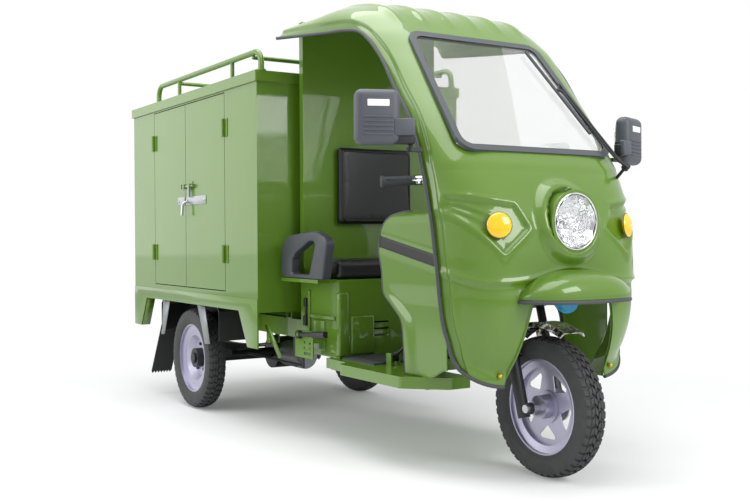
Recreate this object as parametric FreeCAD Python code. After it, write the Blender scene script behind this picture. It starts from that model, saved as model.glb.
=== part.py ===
import FreeCAD, Part
import math
import os

V = FreeCAD.Vector

# Lengths are millimetres. While modelling, x runs forward from the rear axle, y to the driver's left
# and z up from the ground. The finished part is moved so that x = 0 is the middle of its length.

# Clearances and overruns
seat_gap = 0.3
run_gap = 0.05
tyre_seat_gap = 0.1
door_gap = 4.0
overrun = 20.0

# Overall layout
wheelbase = 1975.0
track = 902.0

# Tyres and rims
tyre_radius = 239.0
tyre_half_width = 46.0
tread_half_width = 37.0
tread_crown = 5.0
bead_radius = 160.0
bead_half_width = 29.0
sidewall_radius = 203.0
groove_width = 5.0
groove_depth = 5.0
groove_pitch = 17.0
rim_flange_radius = 166.0
rim_flange_width = 4.0
rim_well_radius = 136.0
rim_well_half_width = 16.0
rim_wall = 4.0
rim_disc_thickness = 5.0
rim_lip_inset = 12.0
window_count = 5
window_inner_radius = 62.0
window_outer_radius = 122.0
window_half_angle = 25.0
window_corner = 9.0
front_hub_radius = 40.0
front_hub_half_length = 44.0
hub_flange_radius = 56.0
hub_flange_thickness = 8.0
front_axle_radius = 8.0
front_nut_radius = 14.0
front_nut_length = 14.0

# Rear wheels and drums
rear_disc_offset = 14.0
rear_disc_dish = 30.0
rear_disc_step_radius = 84.0
rear_disc_flat_radius = 108.0
rear_hub_radius = 46.0
rear_hub_length = 40.0
rear_hub_cap_radius = 24.0
rear_hub_cap_length = 10.0
rear_drum_radius = 100.0
rear_drum_length = 46.0
rear_drum_wall = 9.0
back_plate_radius = 98.0
back_plate_thickness = 6.0
back_plate_gap = 3.0
wheel_bolt_count = 5
wheel_bolt_circle = 66.0
wheel_bolt_radius = 8.0
wheel_bolt_length = 9.0
half_shaft_radius = 14.0

# Rear axle, motor and leaf springs
axle_tube_radius = 26.0
diff_radius = 78.0
diff_half_width = 62.0
motor_radius = 62.0
motor_length = 190.0
motor_cap_radius = 42.0
motor_cap_length = 22.0
motor_start = 62.0
spring_spacing = 620.0
spring_width = 36.0
leaf_thickness = 8.0
leaf_count = 4
leaf_step_share = 0.22
spring_camber = 34.0
spring_front_length = 520.0
spring_rear_length = 420.0
spring_eye_radius = 17.0
spring_pin_radius = 8.0
spring_seat_height = 12.0

# Chassis
rail_spacing = 620.0
rail_width = 46.0
rail_height = 76.0
rail_wall = 4.0
rail_bottom = 395.0
rail_rear = -690.0
rail_front = 1120.0
cross_member_stations = (-640.0, 380.0, 800.0, 1070.0)
cross_member_width = 44.0
cross_member_height = 50.0
sill_spacing = 660.0
sill_width = 40.0
sill_height = 40.0
sill_bottom = 297.0
sill_inset = 60.0
sill_rear = 1070.0

# Steering and front fork
rake_angle = 16.0
fork_offset = 35.0
leg_spacing = 164.0
slider_radius = 21.0
slider_bottom = -26.0
slider_top = 205.0
slider_bore_bottom = -8.0
stanchion_radius = 15.0
stanchion_bottom = 62.0
lug_thickness = 12.0
lug_height = 40.0
lower_yoke_bottom = 352.0
yoke_thickness = 20.0
yoke_depth = 52.0
head_bottom = 376.0
head_length = 150.0
head_radius = 27.0
head_bore = 21.0
stem_radius = 14.0
bearing_height = 14.0
stem_top = 792.0
stanchion_top = 372.0
head_down_tube_radius = 19.0
bar_radius = 11.0
bar_half_width = 365.0
bar_sweep = 223.0
bar_rise = 8.8
bar_bend = 60.0
bar_elbow_y = 200.0
bar_elbow_back = 151.5
bar_straight = 110.0
bar_clamp_half = 42.0
bar_clamp_radius = 24.0
grip_radius = 17.0
grip_length = 125.0
grip_end_radius = 21.0
grip_end_length = 9.0
lever_length = 135.0
lever_width = 17.0
lever_thickness = 9.0
lever_drop = 48.0
lever_gap = 2.0
perch_radius = 19.0
perch_length = 26.0
lever_pivot_radius = 4.0

# Front mudguard
guard_radius = 288.0
guard_half_width = 56.0
guard_wall = 2.5
guard_start_angle = 64.0
guard_end_angle = 128.0
guard_edge_drop = 16.0
guard_stay_width = 26.0
guard_stay_thickness = 4.0

# Cab floor
floor_thickness = 3.0
floor_top = sill_bottom + sill_height + floor_thickness
floor_half_width = 420.0
floor_rear_half_width = 370.0
floor_nose_half_width = 300.0
floor_rear = rail_front
floor_waist_length = 170.0
floor_wing_rear = floor_rear + floor_waist_length
floor_wing_slope = 30.0
floor_overlap = 60.0
floor_nose_length = 120.0
floor_lip = 40.0
floor_round = 26.0
wheel_well_length = 335.0
wheel_well_rear = wheelbase - wheel_well_length
wheel_well_half_width = 212.0
mat_thickness = 6.0
mat_rib_height = 3.0
mat_rib_width = 9.0
mat_rib_count = 14
mat_inset = 40.0
mat_gap = 106.0

# Front fairing: a shell lofted through level sections, shares are of height, depth and half width
fairing_bottom = 330.0
fairing_height = 755.0
fairing_setback = 215.0
fairing_back = wheelbase - fairing_setback
fairing_depth = 340.0
fairing_half_width = 430.0
fairing_wall = 3.0
fairing_section_shares = (
    (0.0, 0.78, 0.895), (0.093, 0.87, 0.94), (0.25, 0.975, 0.972), (0.384, 1.0, 0.98),
    (0.57, 0.99, 0.986), (0.70, 0.95, 0.988), (0.834, 0.83, 0.995), (1.0, 0.585, 1.0))
plan_shares = (-1.0, -0.985, -0.94, -0.85, -0.7, -0.5, -0.25, 0.0, 0.25, 0.5, 0.7, 0.85, 0.94, 0.985, 1.0)
plan_power = 5.0
plan_root = 2.5
fairing_top = fairing_bottom + fairing_height
door_edge_shares = ((0.882, 0.0), (0.641, 0.069), (0.506, 0.162), (0.462, 0.3735), (0.368, 0.695),
                    (0.194, 1.0))
door_edge_xs = [fairing_back + x * fairing_depth for x, z in door_edge_shares]
door_edge_zs = [fairing_bottom + z * fairing_height for x, z in door_edge_shares]
floor_front = fairing_back + floor_overlap
sill_front = floor_front - sill_inset
arch_half_width = 216.0
arch_foot_half_width = 262.0
arch_height = 282.0
arch_top = fairing_bottom + arch_height
arch_corner = 60.0

# Rubber edge beading
trim_out = 2.5
trim_in = 2.5
trim_width = 9.0
trim_lean_share = 0.5

# Visor over the front wheel
visor_half_width = 222.0
visor_overlap = 60.0
visor_root = fairing_back + fairing_depth - visor_overlap
visor_reach = 178.0
front_reach = visor_root + visor_reach
visor_lip_drop = 6.0
visor_lip_bottom = arch_top - visor_lip_drop
visor_lip_height = 12.0
visor_rise = 78.0
visor_wall = 4.0

# Windscreen and gasket, in the plane of the glass
screen_overlap = 189.0
screen_lift = 12.0
screen_run = 382.0
screen_rise = 455.0
screen_base_x = fairing_back + screen_overlap
screen_base_z = fairing_top + screen_lift
screen_top_x = screen_base_x - screen_run
screen_top_z = screen_base_z + screen_rise
screen_base_half = 348.0
screen_top_half = 303.0
screen_corner = 62.0
gasket_width = 26.0
gasket_proud = 5.0
gasket_depth = 9.0
glass_thickness = 5.0

# Cab roof with the screen pillars
roof_half_width = 430.0
roof_edge_round = 74.0
roof_wall = 3.0
roof_rear = 806.0
roof_crown_rise = 160.0
roof_top = screen_top_z + roof_crown_rise
roof_front_turn = 420.0
pillar_shares = ((0.463, 0.259), (0.72, 0.535), (0.982, 0.818), (1.16, 0.953), (1.372, 1.03))
pillar_xs = door_edge_xs[-1:] + [screen_base_x - x * screen_run for x, z in pillar_shares]
pillar_zs = [fairing_top] + [fairing_top + z * (screen_top_z - fairing_top) for x, z in pillar_shares]
roof_edge_drop = 72.0
roof_edge_rear_z = roof_top - roof_edge_drop
roof_rib_count = 6
roof_rib_radius = 9.0
roof_rib_sink = 5.0
roof_rib_setback = 331.0
roof_rib_front = screen_top_x - roof_rib_setback
roof_rib_inset = 44.0
roof_rib_rear = roof_rear + roof_rib_inset
roof_rib_pitch = 118.0

# Headlamp and indicators
lamp_proud = 6.0
lamp_height = 534.0
lamp_x = fairing_back + fairing_depth + lamp_proud
lamp_z = fairing_bottom + lamp_height
lamp_radius = 98.0
lamp_lens_radius = 90.0
lamp_lens_crown = 16.0
lamp_depth = 95.0
lamp_wall = 3.0
lamp_ring_depth = 54.0
lamp_ring_base = 150.0
indicator_y = 285.0
indicator_drop = 12.0
indicator_z = lamp_z - indicator_drop
indicator_radius = 42.0
indicator_setback = 24.0
indicator_face_x = fairing_back + fairing_depth - indicator_setback
indicator_depth = 40.0
indicator_crown = 10.0

# Horn
horn_radius = 38.0
horn_depth = 34.0
horn_rim = 4.0
horn_setback = 50.0
horn_drop = 10.0
horn_x = fairing_back + fairing_depth - horn_setback
horn_z = arch_top - horn_drop
horn_stay_width = 24.0
horn_stay_thickness = 4.0
horn_stay_height = 72.0

# Inner leg shields and dashboard
shield_outer_y = 372.0
shield_inner_y = 228.0
shield_wall = 3.0
shield_round = 40.0
shield_overlap = 140.0
shield_front = fairing_back + shield_overlap
shield_length = 404.0
shield_rear = shield_front - shield_length
shield_height = 565.0
shield_top = floor_top + shield_height
mat_front = shield_rear - mat_gap
shield_shares = ((0.0, 0.0), (0.0, 1.0), (0.743, 1.0), (1.0, 0.814), (0.941, 0.478), (0.644, 0.336),
                 (0.584, 0.0))
dash_inset = 52.0
dash_rear = fairing_back + dash_inset
dash_length = 113.0
dash_front = dash_rear + dash_length
dash_bottom = shield_top
dash_drop = 39.0
dash_top = fairing_top - dash_drop
dash_half_width = 372.0
dash_wall = 3.0
dial_radius = 46.0
dial_depth = 26.0
dial_x = dash_rear + dial_radius

# Cab bulkhead, seat box and seats
bulkhead_rear = 828.0
bulkhead_front = 858.0
bulkhead_half_width = 335.0
bulkhead_border = 46.0
bulkhead_emboss = 8.0
bulkhead_wall = 3.0
deck_top = 650.0
deck_thickness = 14.0
deck_half_width = 340.0
deck_rear = 806.0
deck_front = 1156.0
deck_ear_front = 1118.0
deck_ear_half_width = 414.0
seat_box_rear = 836.0
seat_box_front = 1150.0
seat_box_half_width = 337.0
seat_box_wall = 3.0
seat_opening_inset = 34.0
louvre_count = 3
louvre_length = 120.0
louvre_height = 8.0
louvre_pitch = 26.0
louvre_z = 420.0
seat_half_width = 350.0
seat_rear = 912.0
seat_front = 1164.0
seat_height = 76.0
seat_crown = 10.0
seat_draw_in = 8.0
back_half_width = 192.0
back_bottom = 862.0
back_height = 342.0
back_thickness = 46.0
back_crown = 9.0
back_draw_in = 8.0
pad_shares = ((0.0, 0.8), (0.3, 0.0), (0.72, 0.0), (0.92, 0.8), (1.0, 3.0))
armrest_y = 378.0
armrest_thickness = 42.0
armrest_xs = (822.0, 828.0, 884.0, 1110.0, 1104.0)
armrest_tops = (0.0, 120.0, 176.0, 196.0, 0.0)
armrest_round = 20.0
armrest_rim = 34.0
battery_length = 178.0
battery_width = 166.0
battery_height = 148.0
battery_count = 3
battery_gap = 10.0
controller_length = 60.0
controller_width = 220.0
controller_height = 150.0

# Cargo box
cargo_rear = -730.0
cargo_front = 788.0
cargo_half_width = 513.0
cargo_floor_top = 580.0
cargo_floor_thickness = 3.0
cargo_wall_top = 1461.0
cargo_wall = 22.0
bearer_stations = (-640.0, 380.0, 740.0)
panel_skin = 2.0
skirt_bottom = 504.0
skirt_wall = 3.0
skirt_leg_bottom = 355.0
skirt_leg_top_length = 186.0
skirt_leg_foot_length = 100.0
cargo_roof_height = 44.0
cargo_roof_overhang = 9.0
door_rear_hinge = -416.0
door_split = 5.0
door_front_hinge = 462.0
door_bottom = 584.0
door_top = 1450.0
door_thickness = 20.0
rear_door_inset = 56.0
hinge_radius = 8.0
hinge_pin_radius = 4.0
hinge_length = 78.0
hinge_leaf = 34.0
hinge_leaf_thickness = 3.0
hinge_height_shares = (0.14, 0.78)
fixed_knuckle_shares = ((0.0, 0.3), (0.705, 1.0))
moving_knuckle_shares = ((0.305, 0.7),)
bolt_radius = 6.0
bolt_length = 110.0
bolt_start = 8.0
bolt_play = 1.0
bolt_z = 1060.0
bolt_back_plate = 3.0
bolt_plate_length = 84.0
bolt_plate_height = 46.0
bolt_strap_length = 16.0
bolt_strap_wall = 4.0
keeper_length = 22.0
hasp_height = 52.0
hasp_width = 12.0

# Roof rack
rack_tube_radius = 12.5
rack_half_width = 488.0
rack_top = 1590.0
rack_rear = -412.0
rack_front = 782.0
rack_bend = 52.0
rack_post_stations = (-127.0, 496.0)
rack_post_radius = 9.0
rack_foot_radius = 20.0
rack_foot_height = 6.0
rack_cross_drop = 18.0
rack_cross_stations = (-127.0, 700.0)

# Wheel arches, mud flaps and tail lamps
arch_wall = 3.0
arch_inner_y = 372.0
arch_outer_y = 506.0
arch_front_x = 372.0
arch_rear_x = -352.0
arch_shoulder = 92.0
arch_side_bottom = 352.0
flap_thickness = 6.0
flap_inner_y = 396.0
flap_outer_y = 505.0
flap_top = 378.0
flap_bottom = 109.0
flap_lean = 162.0
flap_tooth_count = 7
flap_tooth_depth = 12.0
tail_lamp_y = 452.0
tail_lamp_z = 542.0
tail_lamp_height = 60.0
tail_lamp_width = 96.0
tail_lamp_depth = 16.0

# Mirrors
mirror_hinge_y = 470.0
mirror_lift = 51.0
mirror_z = fairing_top + mirror_lift
mirror_width = 172.0
mirror_height = 188.0
mirror_depth = 66.0
mirror_round = 24.0
mirror_hinge_radius = 13.0
mirror_hinge_height = 60.0
mirror_post_radius = 8.0
mirror_glass_inset = 10.0
mirror_glass_recess = 4.0
mirror_bracket_width = 30.0
mirror_bracket_x = pillar_xs[0] + mirror_bracket_width / 2 + trim_in
mirror_setback = 14.0
mirror_x = mirror_bracket_x - mirror_setback

# Wiper, in the plane of the glass
wiper_y = 334.0
wiper_below = 70.0
wiper_standoff = 14.0
wiper_arm_length = 400.0
wiper_root = 60.0
wiper_lean = 6.0
wiper_arm_width = 12.0
wiper_arm_thickness = 5.0
wiper_cap_radius = 14.0
wiper_cap_height = 16.0
wiper_spindle_radius = 6.0
blade_length = 440.0
blade_width = 9.0

# Brake pedal, parking brake and brake linkage
pedal_setback = 66.0
pedal_pivot_x = shield_rear - pedal_setback
pedal_y = -268.0
pedal_pivot_height = 30.0
pedal_shaft_radius = 9.0
pedal_boss_radius = 16.0
pedal_boss_length = 30.0
pedal_arm_length = 150.0
pedal_arm_width = 14.0
pedal_lift = 90.0
pedal_pad_length = 76.0
pedal_pad_width = 70.0
pedal_pad_thickness = 12.0
parking_x = 950.0
parking_y = 400.0
parking_shelf = 10.0
parking_slot_count = 3
parking_slot_share = 0.6
parking_z = 424.0
parking_plate_length = 150.0
parking_plate_height = 110.0
parking_plate_thickness = 5.0
parking_pivot_radius = 8.0
parking_boss_radius = 17.0
parking_lever_length = 220.0
parking_lever_radius = 9.0
parking_grip_radius = 13.0
parking_grip_length = 100.0
parking_rest_angle = 4.0
brake_rod_radius = 5.0
brake_arm_length = 80.0
brake_rod_end = 150.0
hanger_thickness = 6.0
pedal_tilt = -30.0
cross_shaft_radius = 10.0
cross_shaft_x = 700.0
cross_shaft_z = 330.0


def block(x0, x1, y0, y1, z0, z1):
    return Part.makeBox(x1 - x0, y1 - y0, z1 - z0, V(x0, y0, z0))


def box_tube(x0, x1, y0, y1, z0, z1, axis):
    """Square tube of the chassis wall, open at both ends of the given axis."""
    wall = rail_wall
    x_in = -overrun if axis == "x" else wall
    y_in = -overrun if axis == "y" else wall
    bore = block(x0 + x_in, x1 - x_in, y0 + y_in, y1 - y_in, z0 + wall, z1 - wall)
    return block(x0, x1, y0, y1, z0, z1).cut(bore)


def rod(start, end, radius):
    run = end.sub(start)
    return Part.makeCylinder(radius, run.Length, start, run)


def hollow_rod(start, end, radius, bore):
    return rod(start, end, radius).cut(rod(start, end, bore))


def mirrored(shape):
    return shape.mirror(V(0, 0, 0), V(0, 1, 0))


def pair(shape):
    return Part.makeCompound([shape, mirrored(shape)])


def group(shapes):
    return Part.makeCompound(shapes)


def fused(shapes):
    whole = shapes[0]
    for shape in shapes[1:]:
        whole = whole.fuse(shape)
    return whole.removeSplitter()


def corner_arc(before, corner, after, radius):
    """Tangent arc that rounds one corner of a path."""
    back = before.sub(corner).normalize()
    ahead = after.sub(corner).normalize()
    half = back.getAngle(ahead) / 2
    reach = radius / math.tan(half)
    middle = back.add(ahead).normalize()
    centre = corner.add(middle.multiply(radius / math.sin(half)))
    start = corner.add(V(back).multiply(reach))
    end = corner.add(V(ahead).multiply(reach))
    inward = corner.sub(centre).normalize()
    return Part.Arc(start, centre.add(inward.multiply(radius)), end).toShape(), start, end


def rounded_path(points, radius):
    """Open path of straight runs joined by tangent arcs."""
    edges = []
    here = points[0]
    for i in range(1, len(points) - 1):
        arc, start, end = corner_arc(points[i - 1], points[i], points[i + 1], radius)
        edges.append(Part.makeLine(here, start))
        edges.append(arc)
        here = end
    edges.append(Part.makeLine(here, points[-1]))
    return Part.Wire(edges)


def rounded_loop(points, radius):
    """Closed outline with every corner rounded alike."""
    arcs = []
    count = len(points)
    for i in range(count):
        arcs.append(corner_arc(points[i - 1], points[i], points[(i + 1) % count], radius))
    edges = []
    for i in range(count):
        edges.append(arcs[i][0])
        edges.append(Part.makeLine(arcs[i][2], arcs[(i + 1) % count][1]))
    return Part.Wire(edges)


def slab(wire, depth):
    """Flat outline pushed along a vector."""
    return Part.Face(wire).extrude(depth)


def polygon(points):
    return Part.makePolygon(points + [points[0]])


def bent_tube(points, radius, bend):
    path = rounded_path(points, bend)
    run = points[1].sub(points[0])
    ring = Part.Wire(Part.makeCircle(radius, points[0], run))
    return path.makePipeShell([ring], True, True)


def turned(points, centre_x, centre_z):
    """Solid turned about a cross axis; points are (radius, y)."""
    wire = polygon([V(centre_x + r, y, centre_z) for r, y in points])
    return Part.Face(wire).revolve(V(centre_x, 0, centre_z), V(0, 1, 0), 360)


# Shapes that several pieces share
def tyre_at_origin():
    bead = bead_radius + tyre_seat_gap
    lip = rim_flange_radius + rim_flange_width
    shoulder = tyre_radius - tread_crown
    foot = V(bead, -bead_half_width, 0)
    side = V(lip, -bead_half_width, 0)
    edge = V(shoulder, -tread_half_width, 0)
    bulge = V(sidewall_radius, -tyre_half_width, 0)
    crown = V(tyre_radius, 0, 0)
    flip = [V(p.x, -p.y, 0) for p in (foot, side, edge, bulge)]
    wire = Part.Wire([
        Part.makeLine(foot, side), Part.Arc(side, bulge, edge).toShape(),
        Part.Arc(edge, crown, flip[2]).toShape(), Part.Arc(flip[2], flip[3], flip[1]).toShape(),
        Part.makeLine(flip[1], flip[0]), Part.makeLine(flip[0], foot)])
    body = Part.Face(wire).revolve(V(0, 0, 0), V(0, 1, 0), 360)
    for y in (-groove_pitch, 0, groove_pitch):
        body = body.cut(turned([
            (tyre_radius - groove_depth, y - groove_width / 2), (tyre_radius + overrun,
                                                                 y - groove_width / 2),
            (tyre_radius + overrun, y + groove_width / 2), (tyre_radius - groove_depth,
                                                            y + groove_width / 2)],
            0, 0))
    return body


def rim_barrel():
    flange_in = bead_half_width + seat_gap
    flange_out = flange_in + rim_flange_width
    slope = rim_well_half_width + rim_lip_inset / 2
    outer = [(rim_flange_radius, flange_out), (rim_flange_radius, flange_in), (bead_radius, flange_in),
             (bead_radius, slope), (rim_well_radius, rim_well_half_width)]
    inner = [(rim_well_radius - rim_wall, rim_well_half_width), (bead_radius - rim_wall, slope),
             (bead_radius - rim_wall, flange_out)]
    points = [(r, -y) for r, y in outer] + [(r, y) for r, y in reversed(outer)]
    points += [(r, y) for r, y in reversed(inner)] + [(r, -y) for r, y in inner]
    return turned(points, 0, 0)


def wheel_window(turn):
    half = math.radians(window_half_angle)
    tip = V(window_inner_radius, -overrun, 0)
    left = V(window_outer_radius * math.cos(half), -overrun, window_outer_radius * math.sin(half))
    right = V(left.x, -overrun, -left.z)
    hole = slab(rounded_loop([tip, left, right], window_corner), V(0, 2 * overrun, 0))
    hole.rotate(V(0, 0, 0), V(0, 1, 0), turn)
    return hole


def front_rim():
    join = rim_well_radius - rim_wall / 2
    disc = rod(V(0, -rim_disc_thickness / 2, 0), V(0, rim_disc_thickness / 2, 0), join)
    for i in range(window_count):
        disc = disc.cut(wheel_window(90 + i * 360 / window_count))
    hub = rod(V(0, -front_hub_half_length, 0), V(0, front_hub_half_length, 0), front_hub_radius)
    flange = rod(V(0, -hub_flange_thickness, 0), V(0, hub_flange_thickness, 0), hub_flange_radius)
    bore = rod(V(0, -front_hub_half_length - overrun, 0), V(0, front_hub_half_length + overrun, 0),
               front_axle_radius + run_gap)
    return fused([rim_barrel(), disc, flange, hub]).cut(bore)


def disc_face_y():
    return rear_disc_dish - rear_disc_offset


def rear_rim():
    """Right rear rim about the origin; its outer side faces -y."""
    half = rim_disc_thickness / 2
    face = disc_face_y()
    join = rim_well_radius - rim_wall / 2
    centre = rear_hub_radius + tyre_seat_gap
    line = [(join, -rear_disc_offset), (rear_disc_flat_radius, -rear_disc_offset),
            (rear_disc_step_radius, face), (centre, face)]
    points = [(r, y - half) for r, y in line] + [(r, y + half) for r, y in reversed(line)]
    return fused([rim_barrel(), turned(points, 0, 0)])


def rear_hub():
    """Hub with its brake drum, about the right wheel's centre."""
    seat = disc_face_y() + rim_disc_thickness / 2 + tyre_seat_gap
    tip = seat - rear_hub_length
    end = seat + rear_drum_length
    bore = half_shaft_radius + run_gap
    boss = rear_hub_radius - rear_drum_wall
    inner = rear_drum_radius - rear_drum_wall
    hub = turned([(bore, tip), (rear_hub_radius, tip), (rear_hub_radius, seat), (rear_drum_radius, seat),
                  (rear_drum_radius, end), (inner, end), (inner, seat + rear_drum_wall),
                  (boss, seat + rear_drum_wall), (boss, end), (bore, end)], 0, 0)
    cap = rod(V(0, tip - rear_hub_cap_length, 0), V(0, tip, 0), rear_hub_cap_radius)
    studs = []
    for i in range(wheel_bolt_count):
        turn = math.radians(i * 360 / wheel_bolt_count + 90)
        x, z = wheel_bolt_circle * math.cos(turn), wheel_bolt_circle * math.sin(turn)
        face = disc_face_y() - rim_disc_thickness / 2 - tyre_seat_gap
        studs.append(rod(V(x, face - wheel_bolt_length, z), V(x, face, z), wheel_bolt_radius))
    return group([fused([hub, cap])] + studs)


def rear_place(shape):
    moved = shape.copy()
    moved.translate(V(0, -track / 2, tyre_radius))
    return moved


def front_place(shape):
    moved = shape.copy()
    moved.translate(V(wheelbase, 0, tyre_radius))
    return moved


# Steering pieces are drawn upright about the steering axis and then leaned back
def steering_base():
    lean = math.radians(rake_angle)
    return V(wheelbase - fork_offset * math.cos(lean), 0, tyre_radius - fork_offset * math.sin(lean))


def leaned(shape):
    moved = shape.copy()
    moved.rotate(V(0, 0, 0), V(0, 1, 0), -rake_angle)
    moved.translate(steering_base())
    return moved


def fork_yokes():
    """Stem, lower yoke and the two upper fork tubes."""
    half = leg_spacing / 2
    reach = half + slider_radius
    yoke = block(-yoke_depth / 2, yoke_depth / 2, -reach, reach, lower_yoke_bottom,
                 lower_yoke_bottom + yoke_thickness)
    yoke = yoke.makeFillet(yoke_depth / 3, [e for e in yoke.Edges if abs(e.tangentAt(0).z) > 0.9])
    parts = [yoke, rod(V(0, 0, lower_yoke_bottom), V(0, 0, stem_top), stem_radius)]
    for y in (-half, half):
        parts.append(rod(V(0, y, stanchion_bottom), V(0, y, stanchion_top), stanchion_radius))
    return leaned(fused(parts))


def fork_sliders():
    half = leg_spacing / 2
    leg = rod(V(0, -half, slider_bottom), V(0, -half, slider_top), slider_radius)
    leg = leg.cut(rod(V(0, -half, slider_bore_bottom), V(0, -half, slider_top + overrun),
                      stanchion_radius + run_gap))
    lug = block(0, fork_offset, -half - lug_thickness / 2, -half + lug_thickness / 2,
                -lug_height / 2, lug_height / 2)
    eye = rod(V(fork_offset, -half - lug_thickness / 2, 0), V(fork_offset, -half + lug_thickness / 2, 0),
              lug_height / 2)
    core = rod(V(0, -half, slider_bore_bottom), V(0, -half, slider_top + overrun),
               stanchion_radius + run_gap)
    hole = rod(V(fork_offset, -half - overrun, 0), V(fork_offset, -half + overrun, 0), front_axle_radius)
    return leaned(pair(fused([leg, lug, eye]).cut(core).cut(hole)))


def front_axle():
    """Axle with spacers and nuts, and the brake plate on its left side."""
    half = leg_spacing / 2
    inner = half - lug_thickness / 2
    outer = half + lug_thickness / 2
    end = outer + front_nut_length
    shoulder = front_hub_half_length + seat_gap
    parts = [rod(V(0, -end, 0), V(0, end, 0), front_axle_radius)]
    for side in (-1, 1):
        parts.append(rod(V(0, side * shoulder, 0), V(0, side * inner, 0), front_nut_radius))
        parts.append(rod(V(0, side * outer, 0), V(0, side * end, 0), front_nut_radius))
    parts.append(rod(V(0, shoulder, 0), V(0, shoulder + back_plate_thickness, 0), hub_flange_radius))
    return front_place(fused(parts))


def front_mudguard():
    """Short guard bent round the tyre, with its stays down to the sliders."""
    half = guard_half_width
    edge = guard_radius - guard_edge_drop
    line = [(edge, -half), (guard_radius, -half + guard_edge_drop), (guard_radius, half - guard_edge_drop),
            (edge, half)]
    inner = [(r - guard_wall, y * (1 - guard_wall / half)) for r, y in line]
    wire = polygon([V(r, y, 0) for r, y in line] + [V(r, y, 0) for r, y in reversed(inner)])
    arch = Part.Face(wire).revolve(V(0, 0, 0), V(0, 1, 0), guard_start_angle - guard_end_angle)
    arch.rotate(V(0, 0, 0), V(0, 1, 0), -guard_start_angle)
    arch = front_place(arch)
    leg = leg_spacing / 2 - slider_radius
    y0 = half - guard_stay_thickness
    stay = leaned(block(-guard_stay_width / 2, guard_stay_width / 2, y0, leg - seat_gap,
                        slider_top - guard_stay_width, edge))
    return fused([arch, stay, mirrored(stay)])


def bar_centre():
    lean = math.radians(rake_angle)
    return steering_base().add(V(-stem_top * math.sin(lean), 0, stem_top * math.cos(lean)))


def bar_points():
    mid = bar_centre().add(V(0, 0, bar_clamp_radius))
    tip = mid.add(V(-bar_sweep, -bar_half_width, 0))
    elbow = mid.add(V(-bar_elbow_back, -bar_elbow_y, bar_rise))
    inner = mid.add(V(0, -bar_straight, 0))
    right = [tip, elbow, inner]
    return right + [V(p.x, -p.y, p.z) for p in reversed(right)]


def grip_line():
    """Right grip: its outer end and the unit vector from there towards the stem."""
    points = bar_points()
    return points[0], points[1].sub(points[0]).normalize()


def grip_sleeve():
    tip, inward = grip_line()
    end = V(tip).add(V(inward).multiply(grip_length))
    flange = V(tip).add(V(inward).multiply(grip_end_length))
    bore = bar_radius + run_gap
    sleeve = fused([rod(tip, end, grip_radius), rod(tip, flange, grip_end_radius)])
    return sleeve.cut(rod(tip.sub(V(inward).multiply(overrun)), end.add(V(inward).multiply(overrun)), bore))


def lever_pivot():
    """Pivot of the brake lever, in front of the bar just inside the grip."""
    tip, inward = grip_line()
    forward = V(inward.y, -inward.x, 0).normalize()
    if forward.x < 0:
        forward = forward.negative()
    start = V(tip).add(V(inward).multiply(grip_length + perch_length / 2))
    return start.add(V(forward).multiply(perch_radius + lever_width / 2 + lever_gap)), forward, inward


def handlebar():
    """Bar, its clamp on the stem and the lever perch."""
    bar = bent_tube(bar_points(), bar_radius, bar_bend)
    mid = bar_centre()
    clamp = rod(V(mid.x, -bar_clamp_half, mid.z + bar_clamp_radius),
                V(mid.x, bar_clamp_half, mid.z + bar_clamp_radius), bar_clamp_radius)
    tip, inward = grip_line()
    a = V(tip).add(V(inward).multiply(grip_length + seat_gap))
    perch = rod(a, a.add(V(inward).multiply(perch_length)), perch_radius)
    pivot = lever_pivot()[0]
    up = V(0, 0, lever_thickness)
    ear = rod(pivot.sub(V(0, 0, lever_thickness / 2 + lever_gap / 2)).sub(up),
              pivot.sub(V(0, 0, lever_thickness / 2 + lever_gap / 2)), lever_width / 2)
    drop = V(0, 0, lever_thickness + lever_gap)
    web = rod(V(a).add(V(inward).multiply(perch_length / 2)).sub(drop), V(pivot).sub(drop),
              lever_thickness / 2)
    pin = rod(pivot.sub(V(0, 0, lever_thickness)), pivot.add(V(0, 0, lever_thickness / 2)),
              lever_pivot_radius)
    stem_end = leaned(rod(V(0, 0, 0), V(0, 0, stem_top), stem_radius))
    return fused([bar, clamp, perch, web, ear, pin]).cut(stem_end)


def brake_lever():
    pivot, forward, inward = lever_pivot()
    out = inward.negative()
    low = V(0, 0, -lever_thickness / 2)
    knee = V(pivot).add(V(forward).multiply(lever_drop / 2)).add(V(out).multiply(lever_length / 4))
    end = V(pivot).add(V(forward).multiply(lever_drop)).add(V(out).multiply(lever_length))
    half = V(forward).multiply(lever_width / 2)
    outline = polygon([pivot.sub(half), V(knee).sub(half), V(end).sub(half), V(end).add(half),
                       V(knee).add(half), pivot.add(half)])
    outline.translate(low)
    arm = slab(outline, V(0, 0, lever_thickness))
    boss = rod(V(pivot).add(low), V(pivot).sub(low), lever_width / 2)
    hole = rod(pivot.sub(V(0, 0, overrun)), pivot.add(V(0, 0, overrun)), lever_pivot_radius + run_gap)
    return fused([arm, boss]).cut(hole)


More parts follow.
